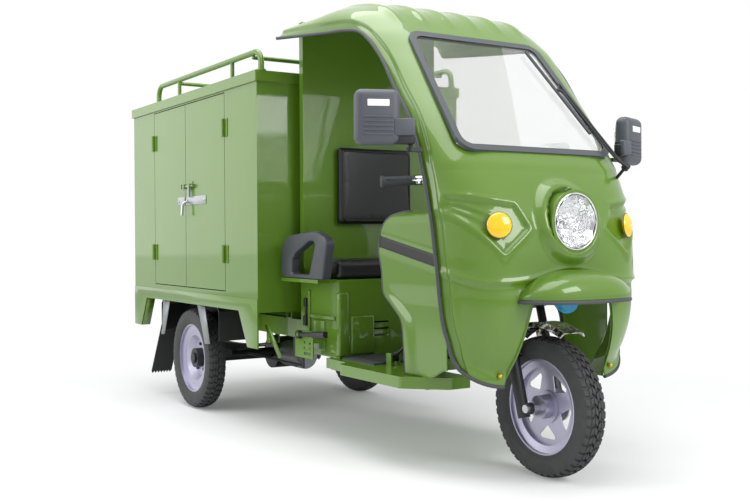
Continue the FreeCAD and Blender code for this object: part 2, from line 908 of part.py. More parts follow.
def steering_head():
    """Head tube with its bearings, and the tubes that tie it to the floor frame."""
    top = head_bottom + head_length
    tube = leaned(hollow_rod(V(0, 0, head_bottom), V(0, 0, top), head_radius, head_bore))
    rings = [leaned(hollow_rod(V(0, 0, z), V(0, 0, z + bearing_height), head_bore, stem_radius + run_gap))
             for z in (head_bottom, top - bearing_height)]
    lean = math.radians(rake_angle)
    base = steering_base()
    hub = base.add(V(-(head_bottom + head_length / 2) * math.sin(lean), 0,
                     (head_bottom + head_length / 2) * math.cos(lean)))
    foot = V(wheel_well_rear - head_down_tube_radius * 2, head_down_tube_radius * 2 - wheel_well_half_width,
             floor_top)
    stay = bent_tube([foot, V(foot.x, foot.y, hub.z), V(hub.x, 0, hub.z)], head_down_tube_radius,
                     head_down_tube_radius * 3)
    stay = stay.cut(leaned(rod(V(0, 0, head_bottom - overrun), V(0, 0, top + overrun), head_radius)))
    stay = stay.common(block(0, wheelbase, -track, 0, 0, roof_top))
    return group([tube, stay, mirrored(stay)] + rings)


def chassis_rails():
    half = rail_spacing / 2
    shapes = []
    inner = half - rail_width / 2
    outer = half + rail_width / 2
    top = rail_bottom + rail_height
    rail = box_tube(rail_rear, rail_front, -outer, -inner, rail_bottom, top, "x")
    shapes += [rail, mirrored(rail)]
    for x in cross_member_stations:
        shapes.append(box_tube(x, x + cross_member_width, -inner, inner, top - cross_member_height, top,
                               "y"))
    sill_in = sill_spacing / 2 - sill_width / 2
    sill_out = sill_spacing / 2 + sill_width / 2
    sill_top = sill_bottom + sill_height
    sill = box_tube(sill_rear, sill_front, -sill_out, -sill_in, sill_bottom, sill_top, "x")
    shapes += [sill, mirrored(sill)]
    drop = block(sill_rear, rail_front, -outer, -inner, sill_top, rail_bottom)
    shapes += [drop, mirrored(drop)]
    shapes.append(box_tube(sill_rear, sill_rear + cross_member_width, -sill_in, sill_in, sill_bottom,
                           sill_top, "y"))
    return group(shapes)


def floor_pan():
    """Cab floor tray with a turned-down lip, drawn in at both ends, and a notch for the front wheel."""
    right = [(floor_rear, floor_rear_half_width),
             (floor_wing_rear - floor_wing_slope, floor_rear_half_width),
             (floor_wing_rear, floor_half_width), (floor_front - floor_nose_length, floor_half_width),
             (floor_front, floor_nose_half_width)]
    points = [V(x, -y, floor_top) for x, y in right] + [V(x, y, floor_top) for x, y in reversed(right)]
    outline = rounded_loop(points, floor_round)
    tray = slab(outline, V(0, 0, -floor_lip))
    room = slab(outline.makeOffset2D(-floor_thickness), V(0, 0, -floor_lip - overrun))
    room.translate(V(0, 0, -floor_thickness))
    tail = sill_spacing / 2 + sill_width / 2 + seat_gap
    rear = block(floor_rear - overrun, floor_rear + floor_round, -tail, tail,
                 floor_top - floor_lip - overrun,
                 floor_top - floor_thickness)
    notch = block(wheel_well_rear, floor_front + overrun, -wheel_well_half_width, wheel_well_half_width,
                  floor_top - floor_lip - overrun, floor_top + overrun)
    return tray.cut(room).cut(rear).cut(notch)


def floor_mat():
    half = floor_rear_half_width - mat_inset
    rear = floor_rear + mat_inset
    base = block(rear, mat_front, -half, half, floor_top, floor_top + mat_thickness)
    ribs = []
    for i in range(mat_rib_count):
        x = rear + (mat_front - rear) * (i + 0.5) / mat_rib_count
        ribs.append(block(x - mat_rib_width / 2, x + mat_rib_width / 2, mat_inset - half, half - mat_inset,
                          floor_top + mat_thickness, floor_top + mat_thickness + mat_rib_height))
    return fused([base] + ribs)


def fairing_section(row, inset, back):
    """Level outline of the fairing at one height, closed across the back."""
    height, depth_share, width_share = row
    z = fairing_bottom + height * fairing_height
    half = width_share * fairing_half_width - inset
    depth = depth_share * fairing_depth - inset
    points = []
    for s in plan_shares:
        reach = depth * (1 - abs(s) ** plan_power) ** (1 / plan_root)
        points.append(V(fairing_back + reach, s * half, z))
    curve = Part.BSplineCurve()
    curve.interpolate(points)
    right, left = points[0], points[-1]
    edges = [curve.toShape()]
    edges.append(Part.makeLine(left, V(back, left.y, z)))
    edges.append(Part.makeLine(V(back, left.y, z), V(back, right.y, z)))
    edges.append(Part.makeLine(V(back, right.y, z), right))
    return Part.Wire(edges)


def beyond(last, before):
    """Section past an end of the loft, in line with the last two."""
    step = overrun / fairing_height / (last[0] - before[0])
    return tuple(a + (a - b) * abs(step) for a, b in zip(last, before))


def fairing_body(inset, back):
    """Fairing as a closed block that runs a little past its finished top and bottom."""
    rows = list(fairing_section_shares)
    rows.insert(0, beyond(rows[0], rows[1]))
    rows.append(beyond(rows[-1], rows[-2]))
    return Part.makeLoft([fairing_section(row, inset, back) for row in rows], True, False)


def side_prism(edge_xs, edge_zs, far_points, half):
    """Side outline with one curved edge, pushed across the whole width."""
    points = [V(x, -half, z) for x, z in zip(edge_xs, edge_zs)]
    curve = Part.BSplineCurve()
    curve.interpolate(points)
    edges = [curve.toShape()]
    corners = [points[-1]] + [V(x, -half, z) for x, z in far_points] + [points[0]]
    for a, b in zip(corners, corners[1:]):
        edges.append(Part.makeLine(a, b))
    return slab(Part.Wire(edges), V(0, 2 * half, 0))


def wheel_arch_cut():
    low = fairing_bottom - 2 * arch_corner
    outline = rounded_loop([V(fairing_back, -arch_foot_half_width, low),
                            V(fairing_back, -arch_half_width, arch_top),
                            V(fairing_back, arch_half_width, arch_top),
                            V(fairing_back, arch_foot_half_width, low)], arch_corner)
    return slab(outline, V(fairing_depth + overrun, 0, 0))


def lamp_axis_rod(x0, x1, radius):
    return rod(V(x0, 0, lamp_z), V(x1, 0, lamp_z), radius)


def front_fairing():
    outer = fairing_body(0, fairing_back - overrun)
    inner = fairing_body(fairing_wall, fairing_back - 2 * overrun)
    front = fairing_back + fairing_depth + overrun
    top = fairing_top
    keep = side_prism(door_edge_xs, door_edge_zs, [(front, top), (front, fairing_bottom)],
                      fairing_half_width + overrun)
    base = lamp_x - lamp_ring_depth
    ring = Part.makeCone(lamp_ring_base, lamp_radius + lamp_wall * 3, lamp_x - base, V(base, 0, lamp_z),
                         V(1, 0, 0))
    shell = outer.fuse(ring).cut(inner).common(keep)
    shell = shell.cut(wheel_arch_cut())
    shell = shell.cut(lamp_axis_rod(fairing_back, front, lamp_radius + seat_gap))
    for y in (-indicator_y, indicator_y):
        shell = shell.cut(rod(V(fairing_back, y, indicator_z), V(front, y, indicator_z),
                              indicator_radius + seat_gap))
    shell = shell.cut(rod(wiper_pivot(-3 * overrun), wiper_pivot(overrun), wiper_spindle_radius + seat_gap))
    return shell


def fairing_visor():
    """Beak over the wheel: half a flattened dome with an upright lip."""
    reach = front_reach - visor_root
    top = visor_lip_bottom + visor_lip_height

    def dome(inset):
        ball = Part.makeSphere(1)
        scale = FreeCAD.Matrix()
        scale.scale(reach - inset, visor_half_width - inset, visor_rise - inset)
        ball = ball.transformGeometry(scale)
        ball.translate(V(visor_root, 0, top))
        return ball.common(block(visor_root, front_reach + overrun, -visor_half_width, visor_half_width,
                                 top, top + visor_rise))

    def lip(inset, low):
        ring = Part.makeCylinder(1, 1)
        scale = FreeCAD.Matrix()
        scale.scale(reach - inset, visor_half_width - inset, top - low)
        ring = ring.transformGeometry(scale)
        ring.translate(V(visor_root, 0, low))
        return ring.common(block(visor_root, front_reach + overrun, -visor_half_width, visor_half_width,
                                 low, top))

    outer = dome(0).fuse(lip(0, visor_lip_bottom))
    inner = dome(visor_wall).fuse(lip(visor_wall, visor_lip_bottom - overrun))
    shell = outer.cut(inner).cut(fairing_body(0, fairing_back - overrun))
    return shell


def screen_points(grow, lift):
    """Corners of the screen in its own plane, grown outwards and lifted along its normal."""
    base = V(screen_base_x, 0, screen_base_z)
    top = V(screen_top_x, 0, screen_top_z)
    up = top.sub(base).normalize()
    normal = V(up.z, 0, -up.x)
    raised = V(normal).multiply(lift)
    low = base.sub(V(up).multiply(grow)).add(raised)
    high = top.add(V(up).multiply(grow)).add(raised)
    wide = screen_base_half + grow
    slim = screen_top_half + grow
    return [V(low.x, -wide, low.z), V(high.x, -slim, high.z), V(high.x, slim, high.z),
            V(low.x, wide, low.z)]


def screen_slab(grow, low, high):
    points = screen_points(grow, low)
    normal = screen_points(grow, high)[0].sub(points[0])
    return slab(rounded_loop(points, screen_corner + grow), normal)


def windscreen_gasket():
    ring = screen_slab(0, -gasket_depth, gasket_proud).cut(
        screen_slab(-gasket_width, -gasket_depth - overrun, gasket_proud + overrun))
    groove = screen_slab(seat_gap - gasket_width / 2, -glass_thickness / 2 - seat_gap,
                         glass_thickness / 2 + seat_gap)
    return ring.cut(groove)


def windscreen_glass():
    return screen_slab(-gasket_width / 2, -glass_thickness / 2, glass_thickness / 2)


def roof_block(inset):
    """Cab top as a rounded block: screen slope in front, flat top, sides square to the ground."""
    run = V(screen_top_x - screen_base_x, 0, screen_top_z - screen_base_z)
    low = fairing_top - (overrun if inset else 0)
    top = roof_top - inset
    slope = run.x / run.z
    normal_step = inset * math.sqrt(1 + slope * slope)
    half = roof_half_width - inset

    def on_slope(z):
        return screen_base_x + (z - screen_base_z) * slope - normal_step

    rear = roof_rear - (overrun if inset else 0)
    path = [V(on_slope(low), -half, low), V(on_slope(top), -half, top), V(rear, -half, top)]
    arc, start, end = corner_arc(path[0], path[1], path[2], roof_front_turn)
    edges = [Part.makeLine(path[0], start), arc, Part.makeLine(end, path[2]),
             Part.makeLine(path[2], V(rear, -half, low)), Part.makeLine(V(rear, -half, low), path[0])]
    body = slab(Part.Wire(edges), V(0, 2 * half, 0))
    edge_set = []
    for e in body.Edges:
        mid = e.CenterOfMass
        flat = abs(abs(mid.y) - half) < run_gap
        if flat and mid.x > on_slope(mid.z) - roof_front_turn and mid.z > low + run_gap:
            edge_set.append(e)
        elif flat and mid.z > top - run_gap:
            edge_set.append(e)
    return body.makeFillet(roof_edge_round - inset, edge_set)


def cab_roof():
    """Roof with the screen pillars, a shell cut back to the door edges."""
    low = fairing_top
    keep = side_prism(pillar_xs, pillar_zs,
                      [(roof_rear, roof_edge_rear_z), (roof_rear - overrun, roof_edge_rear_z),
                       (roof_rear - overrun, roof_top + overrun),
                       (screen_base_x + overrun, roof_top + overrun), (screen_base_x + overrun, low)],
                      roof_half_width + overrun)
    shell = roof_block(0).cut(roof_block(roof_wall)).common(keep)
    shell = shell.cut(screen_slab(seat_gap, -overrun * 3, overrun * 2))
    for i in range(roof_rib_count):
        y = (i - (roof_rib_count - 1) / 2) * roof_rib_pitch
        rib = rod(V(roof_rib_rear, y, roof_top - roof_rib_sink),
                  V(roof_rib_front, y, roof_top - roof_rib_sink),
                  roof_rib_radius)
        shell = shell.fuse(rib.cut(roof_block(0)))
    return shell.removeSplitter()


def headlamp_housing():
    """Round lamp bowl, open in front, with its bright rim."""
    rear = lamp_x - lamp_depth
    bowl = lamp_axis_rod(rear, lamp_x, lamp_radius - seat_gap)
    rim = lamp_axis_rod(lamp_x, lamp_x + lamp_wall * 2, lamp_radius + lamp_wall * 2)
    lens_room = lamp_axis_rod(rear + lamp_depth / 3, lamp_x + overrun, lamp_lens_radius)
    return fused([bowl, rim]).cut(lens_room)


def headlamp_lens():
    """Clear lens, crowned in front."""
    radius = lamp_lens_radius - seat_gap
    face = lamp_x + lamp_wall
    ball_radius = (radius * radius + lamp_lens_crown * lamp_lens_crown) / (2 * lamp_lens_crown)
    puck = lamp_axis_rod(face - lamp_wall * 3, face + lamp_lens_crown, radius)
    ball = Part.makeSphere(ball_radius, V(face + lamp_lens_crown - ball_radius, 0, lamp_z))
    return puck.common(ball)


def indicators():
    face = indicator_face_x
    radius = indicator_radius
    ball_radius = (radius * radius + indicator_crown * indicator_crown) / (2 * indicator_crown)
    puck = rod(V(face - indicator_depth, -indicator_y, indicator_z),
               V(face + indicator_crown, -indicator_y, indicator_z), radius)
    ball = Part.makeSphere(ball_radius, V(face + indicator_crown - ball_radius, -indicator_y, indicator_z))
    return pair(puck.common(ball))


def horn():
    """Disc horn on a strap from the inner face of the fairing."""
    disc = rod(V(horn_x, 0, horn_z), V(horn_x + horn_depth, 0, horn_z), horn_radius)
    rim = rod(V(horn_x + horn_depth / 3, 0, horn_z), V(horn_x + horn_depth * 2 / 3, 0, horn_z),
              horn_radius + horn_rim)
    half = horn_stay_width / 2
    top = horn_z + horn_stay_height
    strap = block(horn_x, horn_x + horn_stay_thickness, -half, half, horn_z, top)
    foot = block(horn_x, fairing_back + fairing_depth, -half, half, top - horn_stay_thickness, top)
    foot = foot.common(fairing_body(fairing_wall + seat_gap, fairing_back - overrun))
    return fused([disc, rim, strap, foot])


def shield_outline(y, inset):
    points = [V(shield_front - x * shield_length, y, floor_top + z * (shield_top - floor_top))
              for x, z in shield_shares]
    wire = rounded_loop(points, shield_round)
    if inset:
        wire = wire.makeOffset2D(-inset)
    return wire


def leg_shields():
    """Moulded inner panels beside the driver's knees, open towards the wheel."""
    depth = shield_outer_y - shield_inner_y
    skin = slab(shield_outline(-shield_outer_y, 0), V(0, depth, 0))
    room = slab(shield_outline(-shield_outer_y + shield_wall, shield_wall), V(0, depth + overrun, 0))
    return pair(skin.cut(room))


def dashboard():
    """Shelf under the screen with a round instrument."""
    shelf = block(dash_rear, dash_front, -dash_half_width, dash_half_width, dash_bottom, dash_top)
    room = block(dash_rear + dash_wall, dash_front + overrun, -dash_half_width + dash_wall,
                 dash_half_width - dash_wall, dash_bottom - overrun, dash_top - dash_wall)
    dial = rod(V(dial_x, 0, dash_top - dash_wall), V(dial_x, 0, dash_top + dial_depth), dial_radius)
    return fused([shelf.cut(room), dial])


def pan(x0, x1, y0, y1, z0, z1, open_side, skin):
    """Sheet panel with folded edges, open on one side: -x, +x, -y or +y."""
    low = [x0 + skin, y0 + skin, z0 + skin]
    high = [x1 - skin, y1 - skin, z1 - skin]
    axis = "xyz".index(open_side[1])
    if open_side[0] == "-":
        low[axis] = [x0, y0, z0][axis] - overrun
    else:
        high[axis] = [x1, y1, z1][axis] + overrun
    return block(x0, x1, y0, y1, z0, z1).cut(block(low[0], high[0], low[1], high[1], low[2], high[2]))


def cab_bulkhead():
    top = roof_top - roof_wall
    panel = pan(bulkhead_rear, bulkhead_front, -bulkhead_half_width, bulkhead_half_width, deck_top, top,
                "-x", bulkhead_wall)
    inner = bulkhead_half_width - bulkhead_border
    rib = pan(bulkhead_front, bulkhead_front + bulkhead_emboss / 2, -inner, inner,
              deck_top + bulkhead_border,
              back_bottom - bulkhead_border, "+x", bulkhead_emboss / 2)
    return panel.fuse(rib.common(block(bulkhead_front, bulkhead_front + bulkhead_emboss / 2, -inner, inner,
                                       deck_top + bulkhead_border, back_bottom - bulkhead_border)))


def seat_box():
    """Seat base over the batteries: sides, front panel with louvres, and the deck with its hatch."""
    low = rail_bottom + rail_height
    under = deck_top - deck_thickness
    half = seat_box_half_width
    wall = seat_box_wall
    case = block(seat_box_rear, seat_box_front, -half, half, low, under)
    case = case.cut(block(seat_box_rear + wall, seat_box_front + overrun, -half + wall, half - wall,
                          low + wall, under + overrun))
    front = block(seat_box_front, seat_box_front + wall, -half, half, floor_top, under)
    cheek = block(seat_box_rear, seat_box_front, -half, -half + wall, floor_top, low)
    for i in range(louvre_count):
        z = louvre_z + i * louvre_pitch
        for y in (-half / 2, half / 2):
            front = front.cut(block(seat_box_front - overrun, seat_box_front + overrun,
                                    y - louvre_length / 2,
                                    y + louvre_length / 2, z, z + louvre_height))
    deck = block(deck_rear, deck_front, -deck_half_width, deck_half_width, under, deck_top)
    ears = block(deck_rear, deck_ear_front, -deck_ear_half_width, deck_ear_half_width, under, deck_top)
    hatch = block(seat_rear + seat_opening_inset, seat_front - seat_opening_inset * 2,
                  -half + seat_opening_inset,
                  half - seat_opening_inset, under - overrun, deck_top + overrun)
    return fused([case, front, cheek, mirrored(cheek), deck, ears]).cut(hatch)


def cushion(x0, x1, y0, y1, z0, z1, crown, draw_in, face):
    """Padded block: sides drawn in between the corners, crowned on one face."""
    mid_x, mid_y, mid_z = (x0 + x1) / 2, (y0 + y1) / 2, (z0 + z1) / 2

    def ring(share, inset):
        if face == "z":
            z = z0 + (z1 - z0) * share
            a, b = V(x0 + inset, y0 + inset, z), V(x1 - inset, y1 - inset, z)
            corners = [a, V(b.x, a.y, z), b, V(a.x, b.y, z)]
            mids = [V(mid_x, a.y + draw_in, z), V(b.x - draw_in, mid_y, z), V(mid_x, b.y - draw_in, z),
                    V(a.x + draw_in, mid_y, z)]
        else:
            x = x0 + (x1 - x0) * share
            a, b = V(x, y0 + inset, z0 + inset), V(x, y1 - inset, z1 - inset)
            corners = [a, V(x, b.y, a.z), b, V(x, a.y, b.z)]
            mids = [V(x, mid_y, a.z + draw_in), V(x, b.y - draw_in, mid_z), V(x, mid_y, b.z - draw_in),
                    V(x, a.y + draw_in, mid_z)]
        edges = []
        for i in range(4):
            edges.append(Part.Arc(corners[i], mids[i], corners[(i + 1) % 4]).toShape())
        return Part.Wire(edges)

    return Part.makeLoft([ring(share, inset * crown) for share, inset in pad_shares], True, True)


def seat_cushion():
    low = deck_top + seat_gap
    return cushion(seat_rear, seat_front, -seat_half_width, seat_half_width, low, low + seat_height,
                   seat_crown, seat_draw_in, "z")


def backrest_cushion():
    rear = bulkhead_front + seat_gap
    return cushion(rear, rear + back_thickness, -back_half_width, back_half_width, back_bottom,
                   back_bottom + back_height, back_crown, back_draw_in, "x")


def armrests():
    y = -armrest_y - armrest_thickness / 2
    points = [V(x, y, deck_top + z) for x, z in zip(armrest_xs, armrest_tops)]
    loop = rounded_loop(points, armrest_round)
    hole = loop.makeOffset2D(-armrest_rim)
    body = slab(loop, V(0, armrest_thickness, 0))
    window = slab(hole, V(0, armrest_thickness + 2 * overrun, 0))
    window.translate(V(0, -overrun, 0))
    return pair(body.cut(window))


def battery_and_controller():
    low = rail_bottom + rail_height + seat_box_wall
    x0 = seat_box_rear + seat_opening_inset
    shapes = []
    pitch = battery_width + battery_gap
    for i in range(battery_count):
        y = (i - (battery_count - 1) / 2) * pitch
        shapes.append(block(x0, x0 + battery_length, y - battery_width / 2, y + battery_width / 2, low,
                            low + battery_height))
    x1 = x0 + battery_length + seat_opening_inset
    shapes.append(block(x1, x1 + controller_length, -controller_width / 2, controller_width / 2, low,
                        low + controller_height))
    return group(shapes)


def cargo_panels():
    """Floor on bearers, front and left walls, fixed right panels, rear posts and headers."""
    under = cargo_floor_top - cargo_floor_thickness
    rail_top = rail_bottom + rail_height
    half = cargo_half_width
    inner = half - cargo_wall
    front_in = cargo_front - cargo_wall
    low, top = cargo_floor_top, cargo_wall_top
    edge = door_gap / 2
    floor = inner - seat_gap
    shapes = [block(cargo_rear + cargo_wall + seat_gap, front_in - seat_gap, -floor, floor, under, low)]
    bearer = rail_spacing / 2 + rail_width / 2
    for x in bearer_stations:
        shapes.append(box_tube(x - cross_member_width, x, -bearer, bearer, rail_top, under, "y"))
    shapes.append(pan(front_in, cargo_front, -half, half, under, top, "-x", panel_skin))
    shapes.append(pan(cargo_rear, front_in, inner, half, under, top, "-y", panel_skin))
    shapes.append(pan(door_front_hinge + edge, front_in, -half, -inner, under, top, "+y", panel_skin))
    shapes.append(pan(cargo_rear, door_rear_hinge - edge, -half, -inner, under, top, "+y", panel_skin))
    shapes.append(block(door_rear_hinge - edge, door_front_hinge + edge, -half, -inner, under, low))
    shapes.append(block(cargo_rear, cargo_rear + cargo_wall, -inner, inner, under, low))
    shapes.append(block(door_rear_hinge - edge, door_front_hinge + edge, -half, -inner, door_top + door_gap,
                        top))
    post = half - rear_door_inset
    for side in (-1, 1):
        y0, y1 = sorted((side * (post + edge), side * inner))
        shapes.append(block(cargo_rear, cargo_rear + cargo_wall, y0, y1, low, top))
    shapes.append(block(cargo_rear, cargo_rear + cargo_wall, -post - edge, post + edge, door_top + door_gap,
                        top))
    return group(shapes)


def cargo_roof():
    """Lid with a rolled rim and an inner flange that sits on the walls."""
    out = cargo_roof_overhang
    skin = panel_skin
    x0, x1 = cargo_rear - out, cargo_front + out
    half = cargo_half_width + out
    top = cargo_wall_top + cargo_roof_height
    lid = block(x0, x1, -half, half, cargo_wall_top, top)
    lid = lid.cut(block(x0 + skin, x1 - skin, -half + skin, half - skin, cargo_wall_top + skin, top - skin))
    rim = out + cargo_wall
    return lid.cut(block(x0 + rim, x1 - rim, -half + rim, half - rim, cargo_wall_top - overrun,
                         cargo_wall_top + overrun))


def cargo_skirt():
    """Side valances with tapered corner legs, and the cross valances."""
    under = cargo_floor_top - cargo_floor_thickness
    rear, front = cargo_rear, cargo_front
    y = -cargo_half_width
    shapes = [block(rear, front, y, y + skirt_wall, skirt_bottom, under)]
    for corner, step in ((rear, 1), (front, -1)):
        leg = polygon([V(corner, y, skirt_bottom), V(corner, y, skirt_leg_bottom),
                       V(corner + step * skirt_leg_foot_length, y, skirt_leg_bottom),
                       V(corner + step * skirt_leg_top_length, y, skirt_bottom)])
        shapes.append(slab(leg, V(0, skirt_wall, 0)))
    shapes += [mirrored(shape) for shape in shapes]
    inner = cargo_half_width - skirt_wall
    shapes.append(block(front - skirt_wall, front, -inner, inner, skirt_bottom, under))
    shapes.append(block(rear, rear + skirt_wall, -inner, inner, skirt_bottom, under))
    return group(shapes)


def span_block(p, q):
    return block(min(p.x, q.x), max(p.x, q.x), min(p.y, q.y), max(p.y, q.y), min(p.z, q.z), max(p.z, q.z))


def hinge_axis(corner, out):
    return corner.add(V(out).multiply(hinge_radius + seat_gap))


def hinge_half(corner, side, out, z0, knuckles, bore):
    """One half of a butt hinge: leaf on the panel face and its share of the knuckles."""
    axis = hinge_axis(corner, out)
    near = V(side).multiply(hinge_radius + seat_gap)
    far = V(side).multiply(hinge_leaf)
    thick = V(out).multiply(hinge_leaf_thickness)
    up = V(0, 0, z0)
    parts = [span_block(corner.add(near).add(up),
                        corner.add(far).add(thick).add(up).add(V(0, 0, hinge_length)))]
    for a, b in knuckles:
        low, high = V(0, 0, z0 + a * hinge_length), V(0, 0, z0 + b * hinge_length)
        parts.append(span_block(corner.add(low), corner.add(near).add(thick).add(high)))
        parts.append(rod(axis.add(low), axis.add(high), hinge_radius))
    half = fused(parts)
    if bore:
        half = half.cut(rod(axis, axis.add(V(0, 0, cargo_wall_top)), bore))
    else:
        half = half.fuse(rod(axis.add(up), axis.add(up).add(V(0, 0, hinge_length)), hinge_pin_radius))
    return half


def hinge_heights():
    span = door_top - door_bottom
    return [door_bottom + share * span for share in hinge_height_shares]


def door_hinge_places():
    """Corner on the face plane, direction to the fixed panel and outward normal for each door."""
    post = cargo_half_width - rear_door_inset
    face = -cargo_half_width
    return {"side_door_rear": (V(door_rear_hinge, face, 0), V(-1, 0, 0), V(0, -1, 0)),
            "side_door_front": (V(door_front_hinge, face, 0), V(1, 0, 0), V(0, -1, 0)),
            "rear_door_right": (V(cargo_rear, -post, 0), V(0, -1, 0), V(-1, 0, 0)),
            "rear_door_left": (V(cargo_rear, post, 0), V(0, 1, 0), V(-1, 0, 0))}


def door_hinges():
    shapes = []
    for corner, side, out in door_hinge_places().values():
        for z in hinge_heights():
            shapes.append(hinge_half(corner, side, out, z, fixed_knuckle_shares, 0))
    return group(shapes)


def moving_hinges(name):
    corner, side, out = door_hinge_places()[name]
    return [hinge_half(corner, side.negative(), out, z, moving_knuckle_shares, hinge_pin_radius + run_gap)
            for z in hinge_heights()]


def latch_keeper():
    """Keeper on the leaf behind the split; x = 0 is the split and y = 0 the door face."""
    line = bolt_back_plate + bolt_play + bolt_radius
    keep = block(-keeper_length - bolt_start, -bolt_start, -line - bolt_radius - bolt_strap_wall, 0,
                 -bolt_radius - bolt_strap_wall, bolt_radius + bolt_strap_wall)
    return keep.cut(rod(V(-keeper_length - overrun, -line, 0), V(overrun, -line, 0),
                        bolt_radius + seat_gap))


def latch_case():
    line = bolt_back_plate + bolt_play + bolt_radius
    reach = line + bolt_radius + bolt_strap_wall
    side = bolt_radius + bolt_strap_wall
    end = bolt_start + bolt_plate_length
    plate = block(bolt_start, end, -bolt_back_plate, 0, -bolt_plate_height / 2, bolt_plate_height / 2)
    parts = [plate]
    for x in (bolt_start, end - bolt_strap_length):
        parts.append(block(x, x + bolt_strap_length, -reach, -bolt_back_plate, -side, side))
    return fused(parts).cut(rod(V(-overrun, -line, 0), V(end + overrun, -line, 0), bolt_radius + run_gap))


def latch_bolt():
    line = bolt_back_plate + bolt_play + bolt_radius
    start = bolt_start / 2
    bar = rod(V(start, -line, 0), V(start + bolt_length, -line, 0), bolt_radius)
    x1 = bolt_start + bolt_plate_length - bolt_strap_length - bolt_play
    hasp = block(x1 - hasp_width, x1, -line - bolt_radius, -line + bolt_radius / 2, -hasp_height, 0)
    return fused([bar, hasp])


def on_side(shape):
    moved = shape.copy()
    moved.translate(V(door_split, -cargo_half_width, bolt_z))
    return moved


def on_rear(shape):
    moved = shape.copy()
    moved.rotate(V(0, 0, 0), V(0, 0, 1), -90)
    moved.translate(V(cargo_rear, 0, bolt_z))
    return moved


def side_door(name, x0, x1):
    leaf = pan(x0, x1, -cargo_half_width, -cargo_half_width + door_thickness, door_bottom, door_top, "+y",
               panel_skin)
    return [leaf] + moving_hinges(name)


def rear_door(name, y0, y1):
    leaf = pan(cargo_rear, cargo_rear + door_thickness, y0, y1, door_bottom, door_top, "+x", panel_skin)
    return [leaf] + moving_hinges(name)


def roof_rack():
    foot = cargo_wall_top + cargo_roof_height
    y = -rack_half_width
    rail = bent_tube([V(rack_rear, y, foot), V(rack_rear, y, rack_top), V(rack_front, y, rack_top),
                      V(rack_front, y, foot)], rack_tube_radius, rack_bend)
    parts = [rail]
    for x in rack_post_stations:
        parts.append(rod(V(x, y, foot), V(x, y, rack_top), rack_post_radius))
    for x in rack_post_stations + (rack_rear, rack_front):
        parts.append(rod(V(x, y, foot), V(x, y, foot + rack_foot_height), rack_foot_radius))
    right = fused(parts)
    shapes = [right, mirrored(right)]
    z = rack_top - rack_cross_drop
    for x in rack_cross_stations:
        bar = rod(V(x, y, z), V(x, -y, z), rack_post_radius)
        shapes.append(bar.cut(right).cut(mirrored(right)))
    return group(shapes)


def wheel_arches():
    """Folded inner guards over the rear wheels."""
    top = cargo_floor_top - cargo_floor_thickness

    def line(inset, low):
        a, b = arch_rear_x + inset, arch_front_x - inset
        high = top - inset
        return [V(a, -arch_outer_y, low), V(a, -arch_outer_y, high - arch_shoulder),
                V(a + arch_shoulder, -arch_outer_y, high), V(b - arch_shoulder, -arch_outer_y, high),
                V(b, -arch_outer_y, high - arch_shoulder), V(b, -arch_outer_y, low)]

    depth = arch_outer_y - arch_inner_y
    outer, inner = line(0, arch_side_bottom), line(arch_wall, arch_side_bottom)
    side = slab(polygon(outer), V(0, arch_wall, 0))
    side.translate(V(0, depth - arch_wall, 0))
    shapes = [side]
    for a, b, c, d in zip(outer, outer[1:], inner[1:], inner):
        shapes.append(slab(polygon([a, b, c, d]), V(0, depth - arch_wall, 0)))
    return group(shapes + [mirrored(shape) for shape in shapes])


def mud_flaps():
    """Rubber flaps that lean back behind the rear wheels, with a saw-tooth lower edge."""
    def place(y, z):
        return V(arch_rear_x - flap_thickness - flap_lean * (flap_top - z) / (flap_top - flap_bottom), y, z)

    points = [place(-flap_outer_y, flap_top), place(-flap_inner_y, flap_top)]
    step = (flap_outer_y - flap_inner_y) / flap_tooth_count
    for i in range(flap_tooth_count):
        y = -flap_inner_y - i * step
        points.append(place(y, flap_bottom + flap_tooth_depth))
        points.append(place(y - step / 2, flap_bottom))
    points.append(place(-flap_outer_y, flap_bottom + flap_tooth_depth))
    return pair(slab(polygon(points), V(flap_thickness, 0, 0)))


def tail_lamps():
    lamp = block(cargo_rear - tail_lamp_depth, cargo_rear, -tail_lamp_y - tail_lamp_width / 2,
                 -tail_lamp_y + tail_lamp_width / 2, tail_lamp_z - tail_lamp_height / 2,
                 tail_lamp_z + tail_lamp_height / 2)
    edges = [e for e in lamp.Edges if e.CenterOfMass.x < cargo_rear - tail_lamp_depth / 4]
    return pair(lamp.makeFillet(tail_lamp_depth / 3, edges))


def mirror_axis(low, high, radius):
    return rod(V(mirror_bracket_x, -mirror_hinge_y, low), V(mirror_bracket_x, -mirror_hinge_y, high),
               radius)


def mirror_brackets():
    """Arms on the screen pillars that carry the mirror pins."""
    low = mirror_z - mirror_hinge_height / 2
    arm = block(mirror_bracket_x - mirror_bracket_width / 2, mirror_bracket_x + mirror_bracket_width / 2,
                -mirror_hinge_y, -roof_half_width, low - mirror_hinge_radius, low)
    end = mirror_axis(low - mirror_hinge_radius, low, mirror_bracket_width / 2)
    pin = mirror_axis(low, low + mirror_hinge_height, mirror_post_radius)
    return pair(fused([arm, end, pin]))


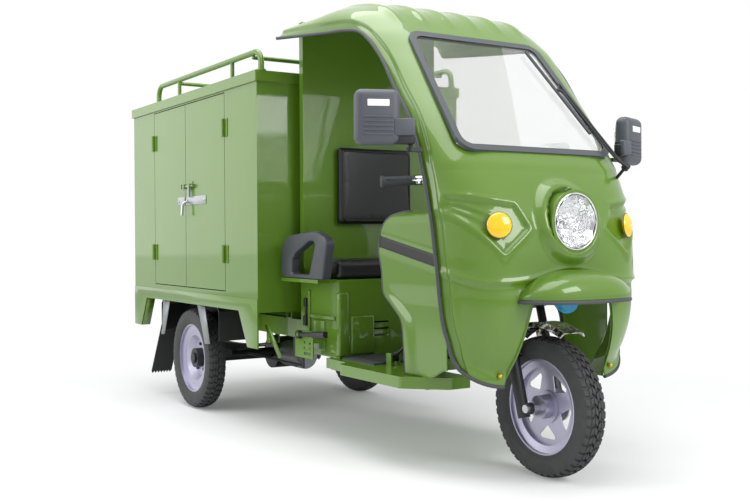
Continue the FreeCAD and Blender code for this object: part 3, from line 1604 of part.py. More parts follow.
def mirror():
    """Right mirror: ridged housing with its hinge boss, and the glass in its rear recess."""
    low = mirror_z - mirror_hinge_height / 2 + seat_gap
    y1 = -mirror_hinge_y - mirror_hinge_radius
    y0 = y1 - mirror_width
    front = mirror_x + mirror_depth / 2
    rear = mirror_x - mirror_depth / 2
    shell = block(rear, front, y0, y1, low, low + mirror_height)
    shell = shell.makeFillet(mirror_round, [e for e in shell.Edges if e.CenterOfMass.x > rear + run_gap])
    inset = mirror_glass_inset
    recess = block(rear - overrun, rear + mirror_glass_recess, y0 + inset, y1 - inset, low + inset,
                   low + mirror_height - inset)
    boss = mirror_axis(low, low + mirror_hinge_height - seat_gap, mirror_hinge_radius)
    neck = block(mirror_bracket_x - mirror_hinge_radius, mirror_bracket_x + mirror_hinge_radius,
                 y1 - mirror_round,
                 -mirror_hinge_y, low, low + mirror_hinge_height - seat_gap)
    bore = mirror_axis(low - overrun, low + mirror_height, mirror_post_radius + run_gap)
    housing = fused([shell, boss, neck]).cut(recess).cut(bore)
    gap = inset + seat_gap
    glass = block(rear + mirror_glass_recess / 2, rear + mirror_glass_recess, y0 + gap, y1 - gap, low + gap,
                  low + mirror_height - gap)
    return group([housing, glass])


def screen_frame():
    """Up the glass, out of the glass, and the foot of the glass on the centre line."""
    base = V(screen_base_x, 0, screen_base_z)
    up = V(screen_top_x, 0, screen_top_z).sub(base).normalize()
    return base, up, V(up.z, 0, -up.x)


def wiper_pivot(lift):
    base, up, normal = screen_frame()
    return base.sub(V(up).multiply(wiper_below)).add(V(0, wiper_y, 0)).add(V(normal).multiply(lift))


def wiper():
    """Arm with its spindle, and the blade across the arm's end."""
    base, up, normal = screen_frame()
    lift = gasket_proud + wiper_standoff
    pivot = wiper_pivot(lift)
    out = V(normal)
    spindle = rod(wiper_pivot(-wiper_root), wiper_pivot(lift), wiper_spindle_radius)
    cap = rod(pivot, pivot.add(V(out).multiply(wiper_cap_height)), wiper_cap_radius)
    side = V(0, 1, 0)
    turn = math.radians(wiper_lean)
    along = V(up).multiply(math.cos(turn)).sub(V(side).multiply(math.sin(turn)))
    across = V(up).multiply(math.sin(turn)).add(V(side).multiply(math.cos(turn)))

    def strip(start, end, width, low, high):
        a = V(across).multiply(width / 2)
        rise = V(out).multiply(low)
        wire = polygon([start.sub(a).add(rise), start.add(a).add(rise), end.add(a).add(rise),
                        end.sub(a).add(rise)])
        return slab(wire, V(out).multiply(high - low))

    tip = pivot.add(V(along).multiply(wiper_arm_length))
    arm = strip(pivot, tip, wiper_arm_width, 0, wiper_arm_thickness)
    half = V(along).multiply(blade_length / 2)
    blade = strip(tip.sub(half), tip.add(half), blade_width, -wiper_standoff + seat_gap, -seat_gap)
    clip = strip(tip.sub(V(along).multiply(wiper_arm_width)), tip.add(V(along).multiply(wiper_arm_width)),
                 wiper_arm_width, -wiper_standoff / 2, wiper_arm_thickness / 2)
    return fused([spindle, cap, arm, clip, blade])


def rear_axle():
    """Axle tube with the final drive bulge, spring seats, brake plates and stub shafts."""
    z = tyre_radius
    seat = disc_face_y() + rim_disc_thickness / 2 + tyre_seat_gap
    plate = track / 2 - seat - rear_drum_length - back_plate_gap
    stub = track / 2 - seat + rear_hub_length / 2
    parts = [rod(V(0, -plate, z), V(0, plate, z), axle_tube_radius),
             rod(V(0, -stub, z), V(0, stub, z), half_shaft_radius),
             rod(V(0, -diff_half_width, z), V(0, diff_half_width, z), diff_radius)]
    for side in (-1, 1):
        y0, y1 = sorted((side * plate, side * (plate - back_plate_thickness)))
        parts.append(rod(V(0, y0, z), V(0, y1, z), back_plate_radius))
        mid = side * spring_spacing / 2
        parts.append(block(-spring_width, spring_width, mid - spring_width / 2, mid + spring_width / 2, z,
                           z + axle_tube_radius + spring_seat_height))
    return fused(parts)


def drive_motor():
    start = motor_start
    z = tyre_radius
    body = rod(V(start, 0, z), V(start + motor_length, 0, z), motor_radius)
    cap = rod(V(start + motor_length, 0, z), V(start + motor_length + motor_cap_length, 0, z),
              motor_cap_radius)
    bulge = rod(V(0, -diff_half_width - overrun, z), V(0, diff_half_width + overrun, z), diff_radius)
    return fused([body, cap]).cut(bulge)


def spring_curve():
    """Radius of the main leaf's top face and the height of its centre."""
    length = (spring_front_length + spring_rear_length) / 2
    radius = (length * length + spring_camber * spring_camber) / (2 * spring_camber)
    stack = leaf_count * (leaf_thickness + seat_gap)
    seat = tyre_radius + axle_tube_radius + spring_seat_height
    return radius, seat + stack + radius


def spring_eye(length):
    radius, centre = spring_curve()
    z = centre - math.sqrt(radius * radius - length * length)
    return z + spring_eye_radius - leaf_thickness / 2


def leaf_springs():
    radius, centre = spring_curve()
    y = -spring_spacing / 2
    y0, y1 = y - spring_width / 2, y + spring_width / 2
    shapes = []
    for i in range(leaf_count):
        share = 1 - i * leaf_step_share
        inner = radius + i * (leaf_thickness + seat_gap)
        a = V(0, y0, centre)
        b = V(0, y1, centre)
        bow = hollow_rod(a, b, inner + leaf_thickness, inner)
        leaf = bow.common(block(-spring_rear_length * share, spring_front_length * share, y0, y1,
                                tyre_radius, rail_bottom))
        if i == 0:
            for x in (-spring_rear_length, spring_front_length):
                eye = V(x, y0, spring_eye(abs(x)))
                leaf = leaf.fuse(rod(eye, V(x, y1, eye.z), spring_eye_radius))
                leaf = leaf.cut(rod(V(x, y0 - overrun, eye.z), V(x, y1 + overrun, eye.z),
                                    spring_pin_radius + run_gap))
        shapes.append(leaf.removeSplitter())
    return group(shapes + [mirrored(s) for s in shapes])


def spring_hangers():
    """Plates under the rails with the spring pins."""
    y = -spring_spacing / 2
    half = spring_width / 2 + seat_gap
    shapes = []
    for x in (-spring_rear_length, spring_front_length):
        z = spring_eye(abs(x))
        parts = [rod(V(x, y - half - hanger_thickness, z), V(x, y + half + hanger_thickness, z),
                     spring_pin_radius)]
        for y0 in (y - half - hanger_thickness, y + half):
            parts.append(block(x - spring_eye_radius, x + spring_eye_radius, y0, y0 + hanger_thickness,
                               z - spring_eye_radius, rail_bottom))
        shapes.append(fused(parts))
    return shapes + [mirrored(s) for s in shapes]


def brake_linkage():
    """Pedal bracket, cross shaft under the rails with its levers, and the pull rods."""
    z = floor_top + pedal_pivot_height
    gap = pedal_boss_length / 2 + seat_gap
    ears = []
    for y in (pedal_y - gap - hanger_thickness, pedal_y + gap):
        ears.append(block(pedal_pivot_x - pedal_boss_radius, pedal_pivot_x + pedal_boss_radius, y,
                          y + hanger_thickness, floor_top, z + pedal_boss_radius))
    pin = rod(V(pedal_pivot_x, pedal_y - gap - hanger_thickness, z),
              V(pedal_pivot_x, pedal_y + gap + hanger_thickness, z), pedal_shaft_radius)
    bracket = fused(ears + [pin])
    inner = rail_spacing / 2 - rail_width / 2
    shaft = rod(V(cross_shaft_x, -inner, cross_shaft_z), V(cross_shaft_x, inner, cross_shaft_z),
                cross_shaft_radius)
    parts = [bracket, shaft]
    for side in (-1, 1):
        y0, y1 = sorted((side * inner, side * (inner + hanger_thickness)))
        parts.append(block(cross_shaft_x - cross_shaft_radius * 2, cross_shaft_x + cross_shaft_radius * 2,
                           y0, y1,
                           cross_shaft_z - cross_shaft_radius * 2, rail_bottom))
        arm_y = side * (inner - cross_shaft_radius * 3)
        low = cross_shaft_z - brake_arm_length
        arm_rear = cross_shaft_x - cross_shaft_radius
        arm = block(arm_rear, cross_shaft_x + cross_shaft_radius, arm_y - hanger_thickness / 2,
                    arm_y + hanger_thickness / 2, low, cross_shaft_z)
        parts.append(arm.cut(shaft))
        parts.append(rod(V(arm_rear, arm_y, low + brake_rod_radius * 2),
                         V(brake_rod_end, arm_y, low + brake_rod_radius * 2), brake_rod_radius))
    return group(parts)


def brake_pedal():
    z = floor_top + pedal_pivot_height
    half = pedal_boss_length / 2
    boss = rod(V(pedal_pivot_x, pedal_y - half, z), V(pedal_pivot_x, pedal_y + half, z), pedal_boss_radius)
    end = V(pedal_pivot_x + pedal_arm_length, pedal_y, z + pedal_lift)
    arm = rod(V(pedal_pivot_x, pedal_y, z), end, pedal_arm_width / 2)
    pad = block(-pedal_pad_length / 2, pedal_pad_length / 2, -pedal_pad_width / 2, pedal_pad_width / 2,
                -pedal_pad_thickness / 2, pedal_pad_thickness / 2)
    pad = pad.makeFillet(pedal_pad_thickness / 3, pad.Edges)
    pad.rotate(V(0, 0, 0), V(0, 1, 0), pedal_tilt)
    pad.translate(end)
    hole = rod(V(pedal_pivot_x, pedal_y - overrun * 2, z), V(pedal_pivot_x, pedal_y + overrun * 2, z),
               pedal_shaft_radius + run_gap)
    return fused([boss, arm, pad]).cut(hole)


def parking_bracket():
    """Slotted plate beside the seat box that carries the parking lever."""
    x0 = parking_x - parking_plate_length / 3
    x1 = x0 + parking_plate_length
    z1 = parking_z + parking_boss_radius
    z0 = z1 - parking_plate_height
    plate = block(x0, x1, -parking_y, -parking_y + parking_plate_thickness, z0, z1)
    shelf = block(x0, x1, -parking_y + parking_plate_thickness, -seat_box_half_width, rail_bottom,
                  rail_bottom + parking_shelf)
    slot = parking_plate_height / 5
    for i in range(parking_slot_count):
        z = z0 + slot * (i + parking_slot_share)
        plate = plate.cut(block(x0 + parking_plate_length / 2, x1 - parking_boss_radius,
                                -parking_y - overrun,
                                -parking_y + overrun, z, z + slot / 2))
    pin = rod(V(parking_x, -parking_y, parking_z),
              V(parking_x, -parking_y - parking_boss_radius - seat_gap, parking_z), parking_pivot_radius)
    return fused([plate, shelf, pin])


def parking_lever():
    y = -parking_y - seat_gap - parking_boss_radius / 2
    turn = math.radians(parking_rest_angle)
    ahead = V(math.cos(turn), 0, math.sin(turn))
    pivot = V(parking_x, y, parking_z)
    half = V(0, parking_boss_radius / 2, 0)
    boss = rod(pivot.sub(half), pivot.add(half), parking_boss_radius)
    end = pivot.add(V(ahead).multiply(parking_lever_length))
    grip = pivot.add(V(ahead).multiply(parking_lever_length - parking_grip_length))
    bar = rod(pivot, end, parking_lever_radius)
    handle = rod(grip, end, parking_grip_radius)
    hole = rod(pivot.sub(V(half).multiply(4)), pivot.add(V(half).multiply(4)),
               parking_pivot_radius + run_gap)
    room = block(parking_x - overrun, parking_x + parking_lever_length, -parking_y - seat_gap,
                 -parking_y + overrun * 2, 0, cargo_floor_top)
    return fused([boss, bar, handle]).cut(hole).cut(room)


def edge_trim():
    """Rubber beading on the door edges of the fairing, pillars and roof."""
    half = fairing_half_width + overrun
    front = fairing_back + fairing_depth + overrun
    top = fairing_top
    fairing = fairing_body(-trim_out, fairing_back - overrun).cut(
        fairing_body(fairing_wall + trim_in, fairing_back - 2 * overrun)).cut(wheel_arch_cut())

    def fairing_side(shift):
        return side_prism([x - shift for x in door_edge_xs], door_edge_zs,
                          [(front, top), (front, fairing_bottom)], half)

    def roof_side(shift):
        lean = shift * trim_lean_share
        return side_prism([x - shift for x in pillar_xs], [z - lean for z in pillar_zs],
                          [(roof_rear, roof_edge_rear_z - lean - shift),
                           (roof_rear - overrun, roof_edge_rear_z),
                           (roof_rear - overrun, roof_top + overrun), (screen_base_x + overrun,
                                                                       roof_top + overrun),
                           (screen_base_x + overrun, top)], half)

    low_trim = fairing.common(fairing_side(trim_width)).cut(fairing_side(0))
    roof = roof_block(-trim_out).cut(roof_block(roof_wall + trim_in))
    high_trim = roof.common(roof_side(trim_width)).cut(roof_side(0))
    high_trim = high_trim.common(block(0, front, -half, half, top, roof_top + overrun))
    return group(low_trim.Solids + high_trim.Solids)


# The finished tricycle
def tricycle():
    edge = door_gap / 2
    post = cargo_half_width - rear_door_inset
    nodes = {
        "chassis_rails": group(chassis_rails().Solids + spring_hangers()),
        "steering_head": steering_head(),
        "floor_pan": floor_pan(),
        "floor_mat": floor_mat(),
        "front_fairing": front_fairing(),
        "fairing_visor": fairing_visor(),
        "cab_roof": cab_roof(),
        "edge_trim": edge_trim(),
        "windscreen_glass": windscreen_glass(),
        "windscreen_gasket": windscreen_gasket(),
        "headlamp_housing": headlamp_housing(),
        "headlamp_lens": headlamp_lens(),
        "indicators": indicators(),
        "horn": horn(),
        "leg_shields": leg_shields(),
        "dashboard": dashboard(),
        "cab_bulkhead": cab_bulkhead(),
        "seat_box": seat_box(),
        "backrest_cushion": backrest_cushion(),
        "armrests": armrests(),
        "battery_and_controller": battery_and_controller(),
        "cargo_panels": group(cargo_panels().Solids + cargo_skirt().Solids),
        "cargo_roof": cargo_roof(),
        "roof_rack": roof_rack(),
        "rear_mudguards": group(wheel_arches().Solids + mud_flaps().Solids),
        "tail_lamps": tail_lamps(),
        "door_hinges": door_hinges(),
        "leaf_springs": leaf_springs(),
        "mirror_brackets": mirror_brackets(),
        "brake_linkage": group(brake_linkage().Solids + [parking_bracket()]),
        "fork_yokes": fork_yokes(),
        "handlebar": handlebar(),
        "left_grip": mirrored(grip_sleeve()),
        "throttle_grip": grip_sleeve(),
        "brake_lever": brake_lever(),
        "fork_sliders": fork_sliders(),
        "front_axle": front_axle(),
        "front_mudguard": front_mudguard(),
        "front_rim": front_place(front_rim()),
        "front_tyre": front_place(tyre_at_origin()),
        "rear_axle": rear_axle(),
        "drive_motor": drive_motor(),
        "rear_rim_right": rear_place(rear_rim()),
        "rear_tyre_right": rear_place(tyre_at_origin()),
        "rear_hub_right": rear_place(rear_hub()),
        "rear_rim_left": mirrored(rear_place(rear_rim())),
        "rear_tyre_left": mirrored(rear_place(tyre_at_origin())),
        "rear_hub_left": mirrored(rear_place(rear_hub())),
        "side_door_front": group(side_door("side_door_front", door_split + edge, door_front_hinge - edge)
                                 + [on_side(latch_case())]),
        "side_door_rear": group(side_door("side_door_rear", door_rear_hinge + edge, door_split - edge)
                                + [on_side(latch_keeper())]),
        "rear_door_right": group(rear_door("rear_door_right", -post + edge,
                                           -edge) + [on_rear(latch_case())]),
        "rear_door_left": group(rear_door("rear_door_left", edge, post - edge) + [on_rear(latch_keeper())]),
        "side_bolt": on_side(latch_bolt()),
        "rear_bolt": on_rear(latch_bolt()),
        "wiper": wiper(),
        "mirror_right": mirror(),
        "mirror_left": mirrored(mirror()),
        "seat_cushion": seat_cushion(),
        "brake_pedal": brake_pedal(),
        "parking_lever": parking_lever(),
    }
    return nodes


def main():
    os.makedirs("parts", exist_ok=True)
    latch_reach = bolt_back_plate + bolt_play + 2 * bolt_radius + bolt_strap_wall
    middle = (front_reach + cargo_rear - latch_reach) / 2
    for name, shape in tricycle().items():
        shape.translate(V(-middle, 0, 0))
        shape.exportStep("parts/" + name + ".step")
    print("rear axle at x =", -middle)


main()
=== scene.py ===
import math

import bmesh
import bpy
from mathutils import Matrix, Vector


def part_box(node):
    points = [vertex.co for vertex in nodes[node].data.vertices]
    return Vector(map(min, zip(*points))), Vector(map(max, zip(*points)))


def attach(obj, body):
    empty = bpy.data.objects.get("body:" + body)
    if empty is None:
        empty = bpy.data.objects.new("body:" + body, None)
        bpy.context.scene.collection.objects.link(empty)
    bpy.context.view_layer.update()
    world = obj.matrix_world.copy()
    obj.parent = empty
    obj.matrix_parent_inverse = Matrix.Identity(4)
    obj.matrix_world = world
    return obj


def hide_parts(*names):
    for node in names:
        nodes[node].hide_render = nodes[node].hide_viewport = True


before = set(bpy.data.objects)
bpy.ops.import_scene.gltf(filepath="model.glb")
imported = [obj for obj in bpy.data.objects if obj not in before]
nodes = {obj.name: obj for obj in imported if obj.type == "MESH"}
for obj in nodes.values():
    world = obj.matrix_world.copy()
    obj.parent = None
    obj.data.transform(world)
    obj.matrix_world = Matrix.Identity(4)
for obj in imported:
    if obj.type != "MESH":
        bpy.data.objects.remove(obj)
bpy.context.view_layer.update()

scene = bpy.context.scene
scene.view_settings.view_transform = "Standard"


# Camera
# The photograph was taken from ahead and to the right of the tricycle, a little below the mirrors,
# with a normal lens. Position and angles come from the wheels, the load box and the windscreen.
camera_place = Vector((3.7815, -2.3023, 0.8176))
camera_yaw = math.radians(57.636)
camera_pitch = math.radians(0.797)
camera_roll = math.radians(-0.288)
photo_width_px = 750
focal_px = 996.85
lens = bpy.data.cameras.new("photo_camera")
lens.sensor_width = 36
lens.lens = focal_px / photo_width_px * lens.sensor_width
camera = bpy.data.objects.new("photo_camera", lens)
facing = Matrix.Rotation(camera_yaw, 4, "Z") @ Matrix.Rotation(math.pi / 2 - camera_pitch, 4, "X")
camera.matrix_world = Matrix.Translation(camera_place) @ facing @ Matrix.Rotation(camera_roll, 4, "Z")
scene.collection.objects.link(camera)
scene.camera = camera


# Studio
# A white sweep under a soft overhead light, with large lights beside and ahead of the tricycle
# and a weak one behind its right side that shows as a pale sheen on the doors.
def linear(hex_colour):
    """sRGB hex to the linear colour that shaders take."""
    parts = [int(hex_colour[i:i + 2], 16) / 255 for i in (1, 3, 5)]
    return [c / 12.92 if c <= 0.04045 else ((c + 0.055) / 1.055) ** 2.4 for c in parts] + [1]


def add(tree, kind, inputs=None, **settings):
    """Adds one shader node, sets its properties and sets or links its inputs."""
    made = tree.nodes.new("ShaderNode" + kind)
    for name, value in settings.items():
        setattr(made, name, value)
    for socket, value in (inputs or {}).items():
        if isinstance(value, bpy.types.NodeSocket):
            tree.links.new(value, made.inputs[socket])
        else:
            made.inputs[socket].default_value = value
    return made


world = bpy.data.worlds.new("white_studio")
scene.world = world
world.use_nodes = True
sky = world.node_tree
sky.nodes.clear()
sight = add(sky, "LightPath")
seen = add(sky, "Math", {0: sight.outputs["Is Camera Ray"], 1: sight.outputs["Is Transmission Ray"]},
           operation="MAXIMUM")
shiny = add(sky, "Math", {0: seen.outputs[0], 1: sight.outputs["Is Glossy Ray"]}, operation="MAXIMUM")
ambient = add(sky, "Background", {"Color": linear("#eef1f4"), "Strength": 0.55})
white = add(sky, "Background", {"Color": linear("#ffffff"), "Strength": 1.0})
mixed = add(sky, "MixShader", {0: shiny.outputs[0], 1: ambient.outputs[0], 2: white.outputs[0]})
add(sky, "OutputWorld", {"Surface": mixed.outputs[0]})


def placed(name, made):
    """Turns a bmesh into an object of the scene."""
    mesh = bpy.data.meshes.new(name)
    made.to_mesh(mesh)
    made.free()
    done = bpy.data.objects.new(name, mesh)
    scene.collection.objects.link(done)
    return done


def studio_light(name, place, target, size, size_y, power):
    """Rectangular soft light that faces a point."""
    data = bpy.data.lights.new(name, "AREA")
    data.shape = "RECTANGLE"
    data.size = size
    data.size_y = size_y
    data.energy = power
    lamp = bpy.data.objects.new(name, data)
    aim = (Vector(target) - Vector(place)).to_track_quat("-Z", "Y").to_matrix().to_4x4()
    lamp.matrix_world = Matrix.Translation(place) @ aim
    scene.collection.objects.link(lamp)


# Name, place, point it faces, width and height, power
studio_light("overhead_light", (0.2, -0.6, 4.2), (0, 0, 0.6), 4.5, 3.5, 165)
studio_light("side_light", (-1.2, -4.2, 2.2), (-0.3, 0, 0.9), 3.2, 2.4, 80)
studio_light("rear_side_light", (-4.65, -2.2, 1.5), (-0.4, -0.5, 0.9), 1.5, 2.4, 6.5)
studio_light("front_light", (4.6, 0.9, 2.6), (1.0, 0, 0.8), 2.2, 1.8, 102)

# The floor's shadow fades to white between two distances from the middle, in metres
fade_start, fade_end, fade_least = 0.9, 2.7, 0.12
floor_half = 40
shape = bmesh.new()
bmesh.ops.create_grid(shape, x_segments=1, y_segments=1, size=floor_half)
studio_floor = placed("studio_floor", shape)
sweep = bpy.data.materials.new("white_sweep")
sweep.use_nodes = True
tree = sweep.node_tree
tree.nodes.clear()
matt = add(tree, "BsdfDiffuse", {"Color": linear("#f4f4f4")})
glow = add(tree, "Emission", {"Color": linear("#ffffff"), "Strength": 1.0})
sight = add(tree, "LightPath")
spot = add(tree, "VectorMath", {0: add(tree, "TexCoord").outputs["Object"]}, operation="LENGTH")
fade = add(tree, "MapRange", {"Value": spot.outputs["Value"], "From Min": fade_start, "From Max": fade_end,
                              "To Min": fade_least, "To Max": 1.0}, interpolation_type="SMOOTHSTEP")
seen = add(tree, "Math", {0: sight.outputs["Is Camera Ray"], 1: sight.outputs["Is Transmission Ray"]},
           operation="MAXIMUM")
share = add(tree, "Math", {0: seen.outputs[0], 1: fade.outputs[0]}, operation="MULTIPLY")
mixed = add(tree, "MixShader", {0: share.outputs[0], 1: matt.outputs[0], 2: glow.outputs[0]})
add(tree, "OutputMaterial", {"Surface": mixed.outputs[0]})
studio_floor.data.materials.append(sweep)


# Chassis rails, floor pan and the sheet-metal bodywork
# Welded steel tube and folded sheet, sprayed in one gloss moss-green enamel after assembly.
# Enamel: a clear gloss over even pigment, with a faint orange-peel ripple about 4 mm across.
enamel_green = "#5a7f1b"
enamel_shade = "#527517"
ripple_mm = 4.0
patch_mm = 600.0


def pattern(tree, size_mm, detail=None):
    """Pattern of a real size: cloudy where a detail is given, else small cells."""
    inputs = {"Vector": add(tree, "TexCoord").outputs["Object"], "Scale": 1000 / size_mm}
    if detail is None:
        return add(tree, "TexVoronoi", inputs).outputs["Distance"]
    return add(tree, "TexNoise", {**inputs, "Detail": detail}).outputs["Fac"]


def surface(name, colour, roughness, metallic=0.0, tone=None, gloss=None, relief=None, **sockets):
    """Material with one Principled shader. Tone is a second colour, gloss two ends of the roughness and relief
    the strength and depth of a bump, each followed by the size and detail of its pattern."""
    made = bpy.data.materials.new(name)
    made.use_nodes = True
    tree = made.node_tree
    tree.nodes.clear()
    inputs = {"Base Color": linear(colour), "Roughness": roughness, "Metallic": metallic}
    inputs.update({key.replace("_", " "): value for key, value in sockets.items()})
    if tone:
        mixed = {0: pattern(tree, *tone[1:]), 6: linear(colour), 7: linear(tone[0])}
        inputs["Base Color"] = add(tree, "Mix", mixed, data_type="RGBA").outputs[2]
    if gloss:
        ends = {"Value": pattern(tree, *gloss[2:]), "To Min": gloss[0], "To Max": gloss[1]}
        inputs["Roughness"] = add(tree, "MapRange", ends).outputs[0]
    if relief:
        rise = {"Height": pattern(tree, *relief[2:]), "Strength": relief[0], "Distance": relief[1]}
        inputs["Normal"] = inputs["Coat Normal"] = add(tree, "Bump", rise).outputs[0]
    add(tree, "OutputMaterial", {"Surface": add(tree, "BsdfPrincipled", inputs).outputs[0]})
    return made


def dress(finish, *names):
    """Gives a finish to CAD nodes that stay in view."""
    for name in names:
        nodes[name].data.materials.clear()
        nodes[name].data.materials.append(finish)


enamel = surface("gloss_enamel", enamel_shade, 0.4, tone=(enamel_green, patch_mm, 2.0),
                 relief=(0.04, 0.0006, ripple_mm, 1.0), Coat_Weight=0.8, Coat_Roughness=0.04, Specular_IOR_Level=0.3)
dress(enamel, "chassis_rails", "floor_pan", "cab_bulkhead", "seat_box", "cargo_panels", "cargo_roof", "roof_rack",
      "side_door_front", "side_door_rear", "rear_door_right", "rear_door_left", "door_hinges", "headlamp_housing")


# Running gear
# Axle housing, leaf springs, fork, mirror brackets and mudguards: steel under satin black paint.
# Black paint over metal: half gloss, with fine grit that breaks up the highlights.
satin_black = "#17181a"
grit_mm = 2.5
black = surface("satin_black_paint", satin_black, 0.45, gloss=(0.34, 0.58, grit_mm, 3.0),
                relief=(0.12, 0.0008, grit_mm, 3.0))
dress(black, "steering_head", "leaf_springs", "fork_yokes", "fork_sliders", "rear_axle",
      "rear_hub_right", "rear_hub_left", "brake_pedal", "parking_lever", "mirror_brackets", "rear_mudguards")

# Zinc-plated steel: bolts, hasp and the front axle, dull silver with soft mottling from the plating.
zinc_silver = "#b9bcbd"
mottle_mm = 9.0
zinc = surface("zinc_plate", zinc_silver, 0.32, 1.0, gloss=(0.22, 0.44, mottle_mm, 2.0))
dress(zinc, "side_bolt", "rear_bolt", "front_axle")

# Cast alloy: motor case, fine sand-cast skin.
alloy_grey = "#9a9c9f"
dress(surface("cast_alloy", alloy_grey, 0.5, 1.0, relief=(0.25, 0.001, grit_mm, 3.0)), "drive_motor")

# Chrome plate: handlebar, brake lever, lamp rim and reflector, with a faint haze.
chrome_white = "#e2e3e4"
haze_mm = 15.0
chrome = surface("chrome_plate", chrome_white, 0.08, 1.0, gloss=(0.05, 0.16, haze_mm, 3.0))
dress(chrome, "handlebar", "brake_lever")

# Stainless sheet: the front mudguard, bright but broken up by painted reflections, dark smeared patches about 14 mm
# across painted into its colour.
painted_reflection_dark = "#4b463d"
stainless_pale = "#d9d7d0"
painted_reflection_mm = 14.0
stainless = surface("stainless_sheet", stainless_pale, 0.22, 1.0)
tree = stainless.node_tree
# Painted reflections: a cloudy pattern turns the sheet's colour dark in patches, standing in for dark reflections.
painted_reflections = add(tree, "ValToRGB", {"Fac": pattern(tree, painted_reflection_mm, 4.0)})
for stop, at, colour in zip(painted_reflections.color_ramp.elements, (0.42, 0.58), (painted_reflection_dark, stainless_pale)):
    stop.position = at
    stop.color = linear(colour)
tree.links.new(painted_reflections.outputs[0], tree.nodes["Principled BSDF"].inputs["Base Color"])
dress(stainless, "front_mudguard")


# Wheels
# Pressed steel rims in lilac-silver lacquer, with black rubber tyres.
# Metallic lacquer: fine bright flake in a pale violet-grey coat.
rim_lilac = "#aeacc0"
flake_mm = 1.2
lacquer = surface("silver_lacquer", rim_lilac, 0.34, 0.75, gloss=(0.28, 0.42, flake_mm), Coat_Weight=0.3)
dress(lacquer, "front_rim", "rear_rim_right", "rear_rim_left")

# Tyre rubber: carbon black, dull, with a slight grey bloom.
tyre_black = "#303031"
tyre_bloom = "#474748"
bloom_mm = 35.0
tyre_rubber = surface("tyre_rubber", tyre_black, 0.78, tone=(tyre_bloom, bloom_mm, 4.0),
                      relief=(0.1, 0.001, bloom_mm, 4.0))


# Rubber and moulded trim
# Extruded and moulded pieces in matt charcoal and dark grey, pushed on or screwed to the bodywork.
# Extruded rubber: beading, grips and mat, with a faint extrusion sheen.
trim_charcoal = "#3d4043"
rubber = surface("extruded_rubber", trim_charcoal, 0.55, relief=(0.1, 0.0005, grit_mm, 2.0))
dress(rubber, "left_grip", "throttle_grip", "floor_mat")

# Weathered rubber: the windscreen gasket, a little paler and shinier than the beading.
gasket_grey = "#474c50"
dress(surface("weathered_rubber", gasket_grey, 0.28), "windscreen_gasket")

# Moulded plastic: mirrors, dashboard and battery case, dark grey with a spark-eroded grain.
plastic_grey = "#4b4e55"
plastic_grain_mm = 1.5
plastic = surface("grained_plastic", plastic_grey, 0.5, relief=(0.2, 0.0004, plastic_grain_mm))
dress(plastic, "dashboard", "battery_and_controller")


# Glass and lenses
# Laminated windscreen in its gasket, clear headlamp glass, amber and red moulded lamp lenses,
# and the horn in blue enamel.
glass_tint = "#f7fbfa"
amber_yellow = "#f4c303"
ruby_red = "#9c1210"
horn_blue = "#2191bd"
dress(surface("clear_glass", glass_tint, 0.0, Transmission_Weight=1.0, IOR=1.45, Alpha=0.25),
      "windscreen_glass", "headlamp_lens")
amber = surface("amber_lens", amber_yellow, 0.12, Coat_Weight=0.5)
dress(surface("red_lens", ruby_red, 0.12, Coat_Weight=0.5), "tail_lamps")
dress(surface("blue_enamel", horn_blue, 0.3, Coat_Weight=0.4), "horn")


# Cab shell
# The nose, screen pillars and roof are one glass-fibre moulding, laid up in a mould and sprayed green.
# Stations run from the foot of the nose up over the screen to the rear edge of the roof.
axle_low, axle_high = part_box("rear_axle")
axle_x = (axle_low.x + axle_high.x) / 2
# Shares of the girth: foot of the nose, top of the wheel arch, sill and ends of the screen, crown and end of the roof
foot, brow, sill, screen_foot, screen_head, crown, roof_end = 0.0, 0.19, 0.42, 0.47, 0.70, 0.82, 1.0
# Each station: share of the girth, front x and z, door-edge x and z, half width, depth of the round
shell_stations = (
    (foot, 2.020, 0.322, 1.950, 0.388, 0.388, 0.262), (0.05, 2.044, 0.372, 1.936, 0.428, 0.398, 0.284),
    (0.095, 2.076, 0.436, 1.934, 0.474, 0.407, 0.308), (0.14, 2.100, 0.515, 1.925, 0.530, 0.416, 0.331),
    (brow, 2.110, 0.612, 1.917, 0.612, 0.421, 0.340), (0.235, 2.099, 0.690, 1.908, 0.690, 0.423, 0.339),
    (0.28, 2.095, 0.770, 1.897, 0.770, 0.424, 0.335), (0.33, 2.082, 0.860, 1.884, 0.860, 0.425, 0.322),
    (0.38, 2.047, 0.950, 1.865, 0.950, 0.427, 0.287), (sill, 1.998, 1.035, 1.842, 1.035, 0.429, 0.240),
    (screen_foot, 1.924, 1.126, 1.810, 1.126, 0.430, 0.180), (0.52, 1.842, 1.224, 1.761, 1.224, 0.430, 0.130),
    (0.58, 1.750, 1.334, 1.675, 1.334, 0.430, 0.116), (0.64, 1.653, 1.450, 1.588, 1.450, 0.430, 0.100),
    (screen_head, 1.560, 1.561, 1.478, 1.545, 0.430, 0.112), (0.76, 1.428, 1.665, 1.362, 1.575, 0.430, 0.130),
    (crown, 1.237, 1.712, 1.232, 1.589, 0.430, 0.146), (0.91, 1.020, 1.712, 1.020, 1.614, 0.430, 0.120),
    (roof_end, 0.806, 1.712, 0.806, 1.640, 0.430, 0.100))
round_power = 5.0
round_root = 0.4
wall = 0.003
shell_columns = 170
shell_rows = 250
arch_share = 0.2235
arch_top_half = 0.155
arch_foot_half = 0.226
lamp_low, lamp_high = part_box("headlamp_housing")
lamp_z = (lamp_low.z + lamp_high.z) / 2
lamp_hole = 0.101
lamp_sink = 0.11
collar_flat = 0.012
collar_reach = 0.152
collar_rise = 0.024
lower_step = 0.013
# Distances from the door edge between which its flange ends
flange_edge = 0.032, 0.046
flange_step = 0.009
rib_count = 6
rib_pitch = 0.118
rib_half = 0.021
rib_rise = 0.008
# Shares of the girth between which the roof's ribs rise
rib_edge = screen_head + 0.01, screen_head + 0.05
nose_rows = 0.6


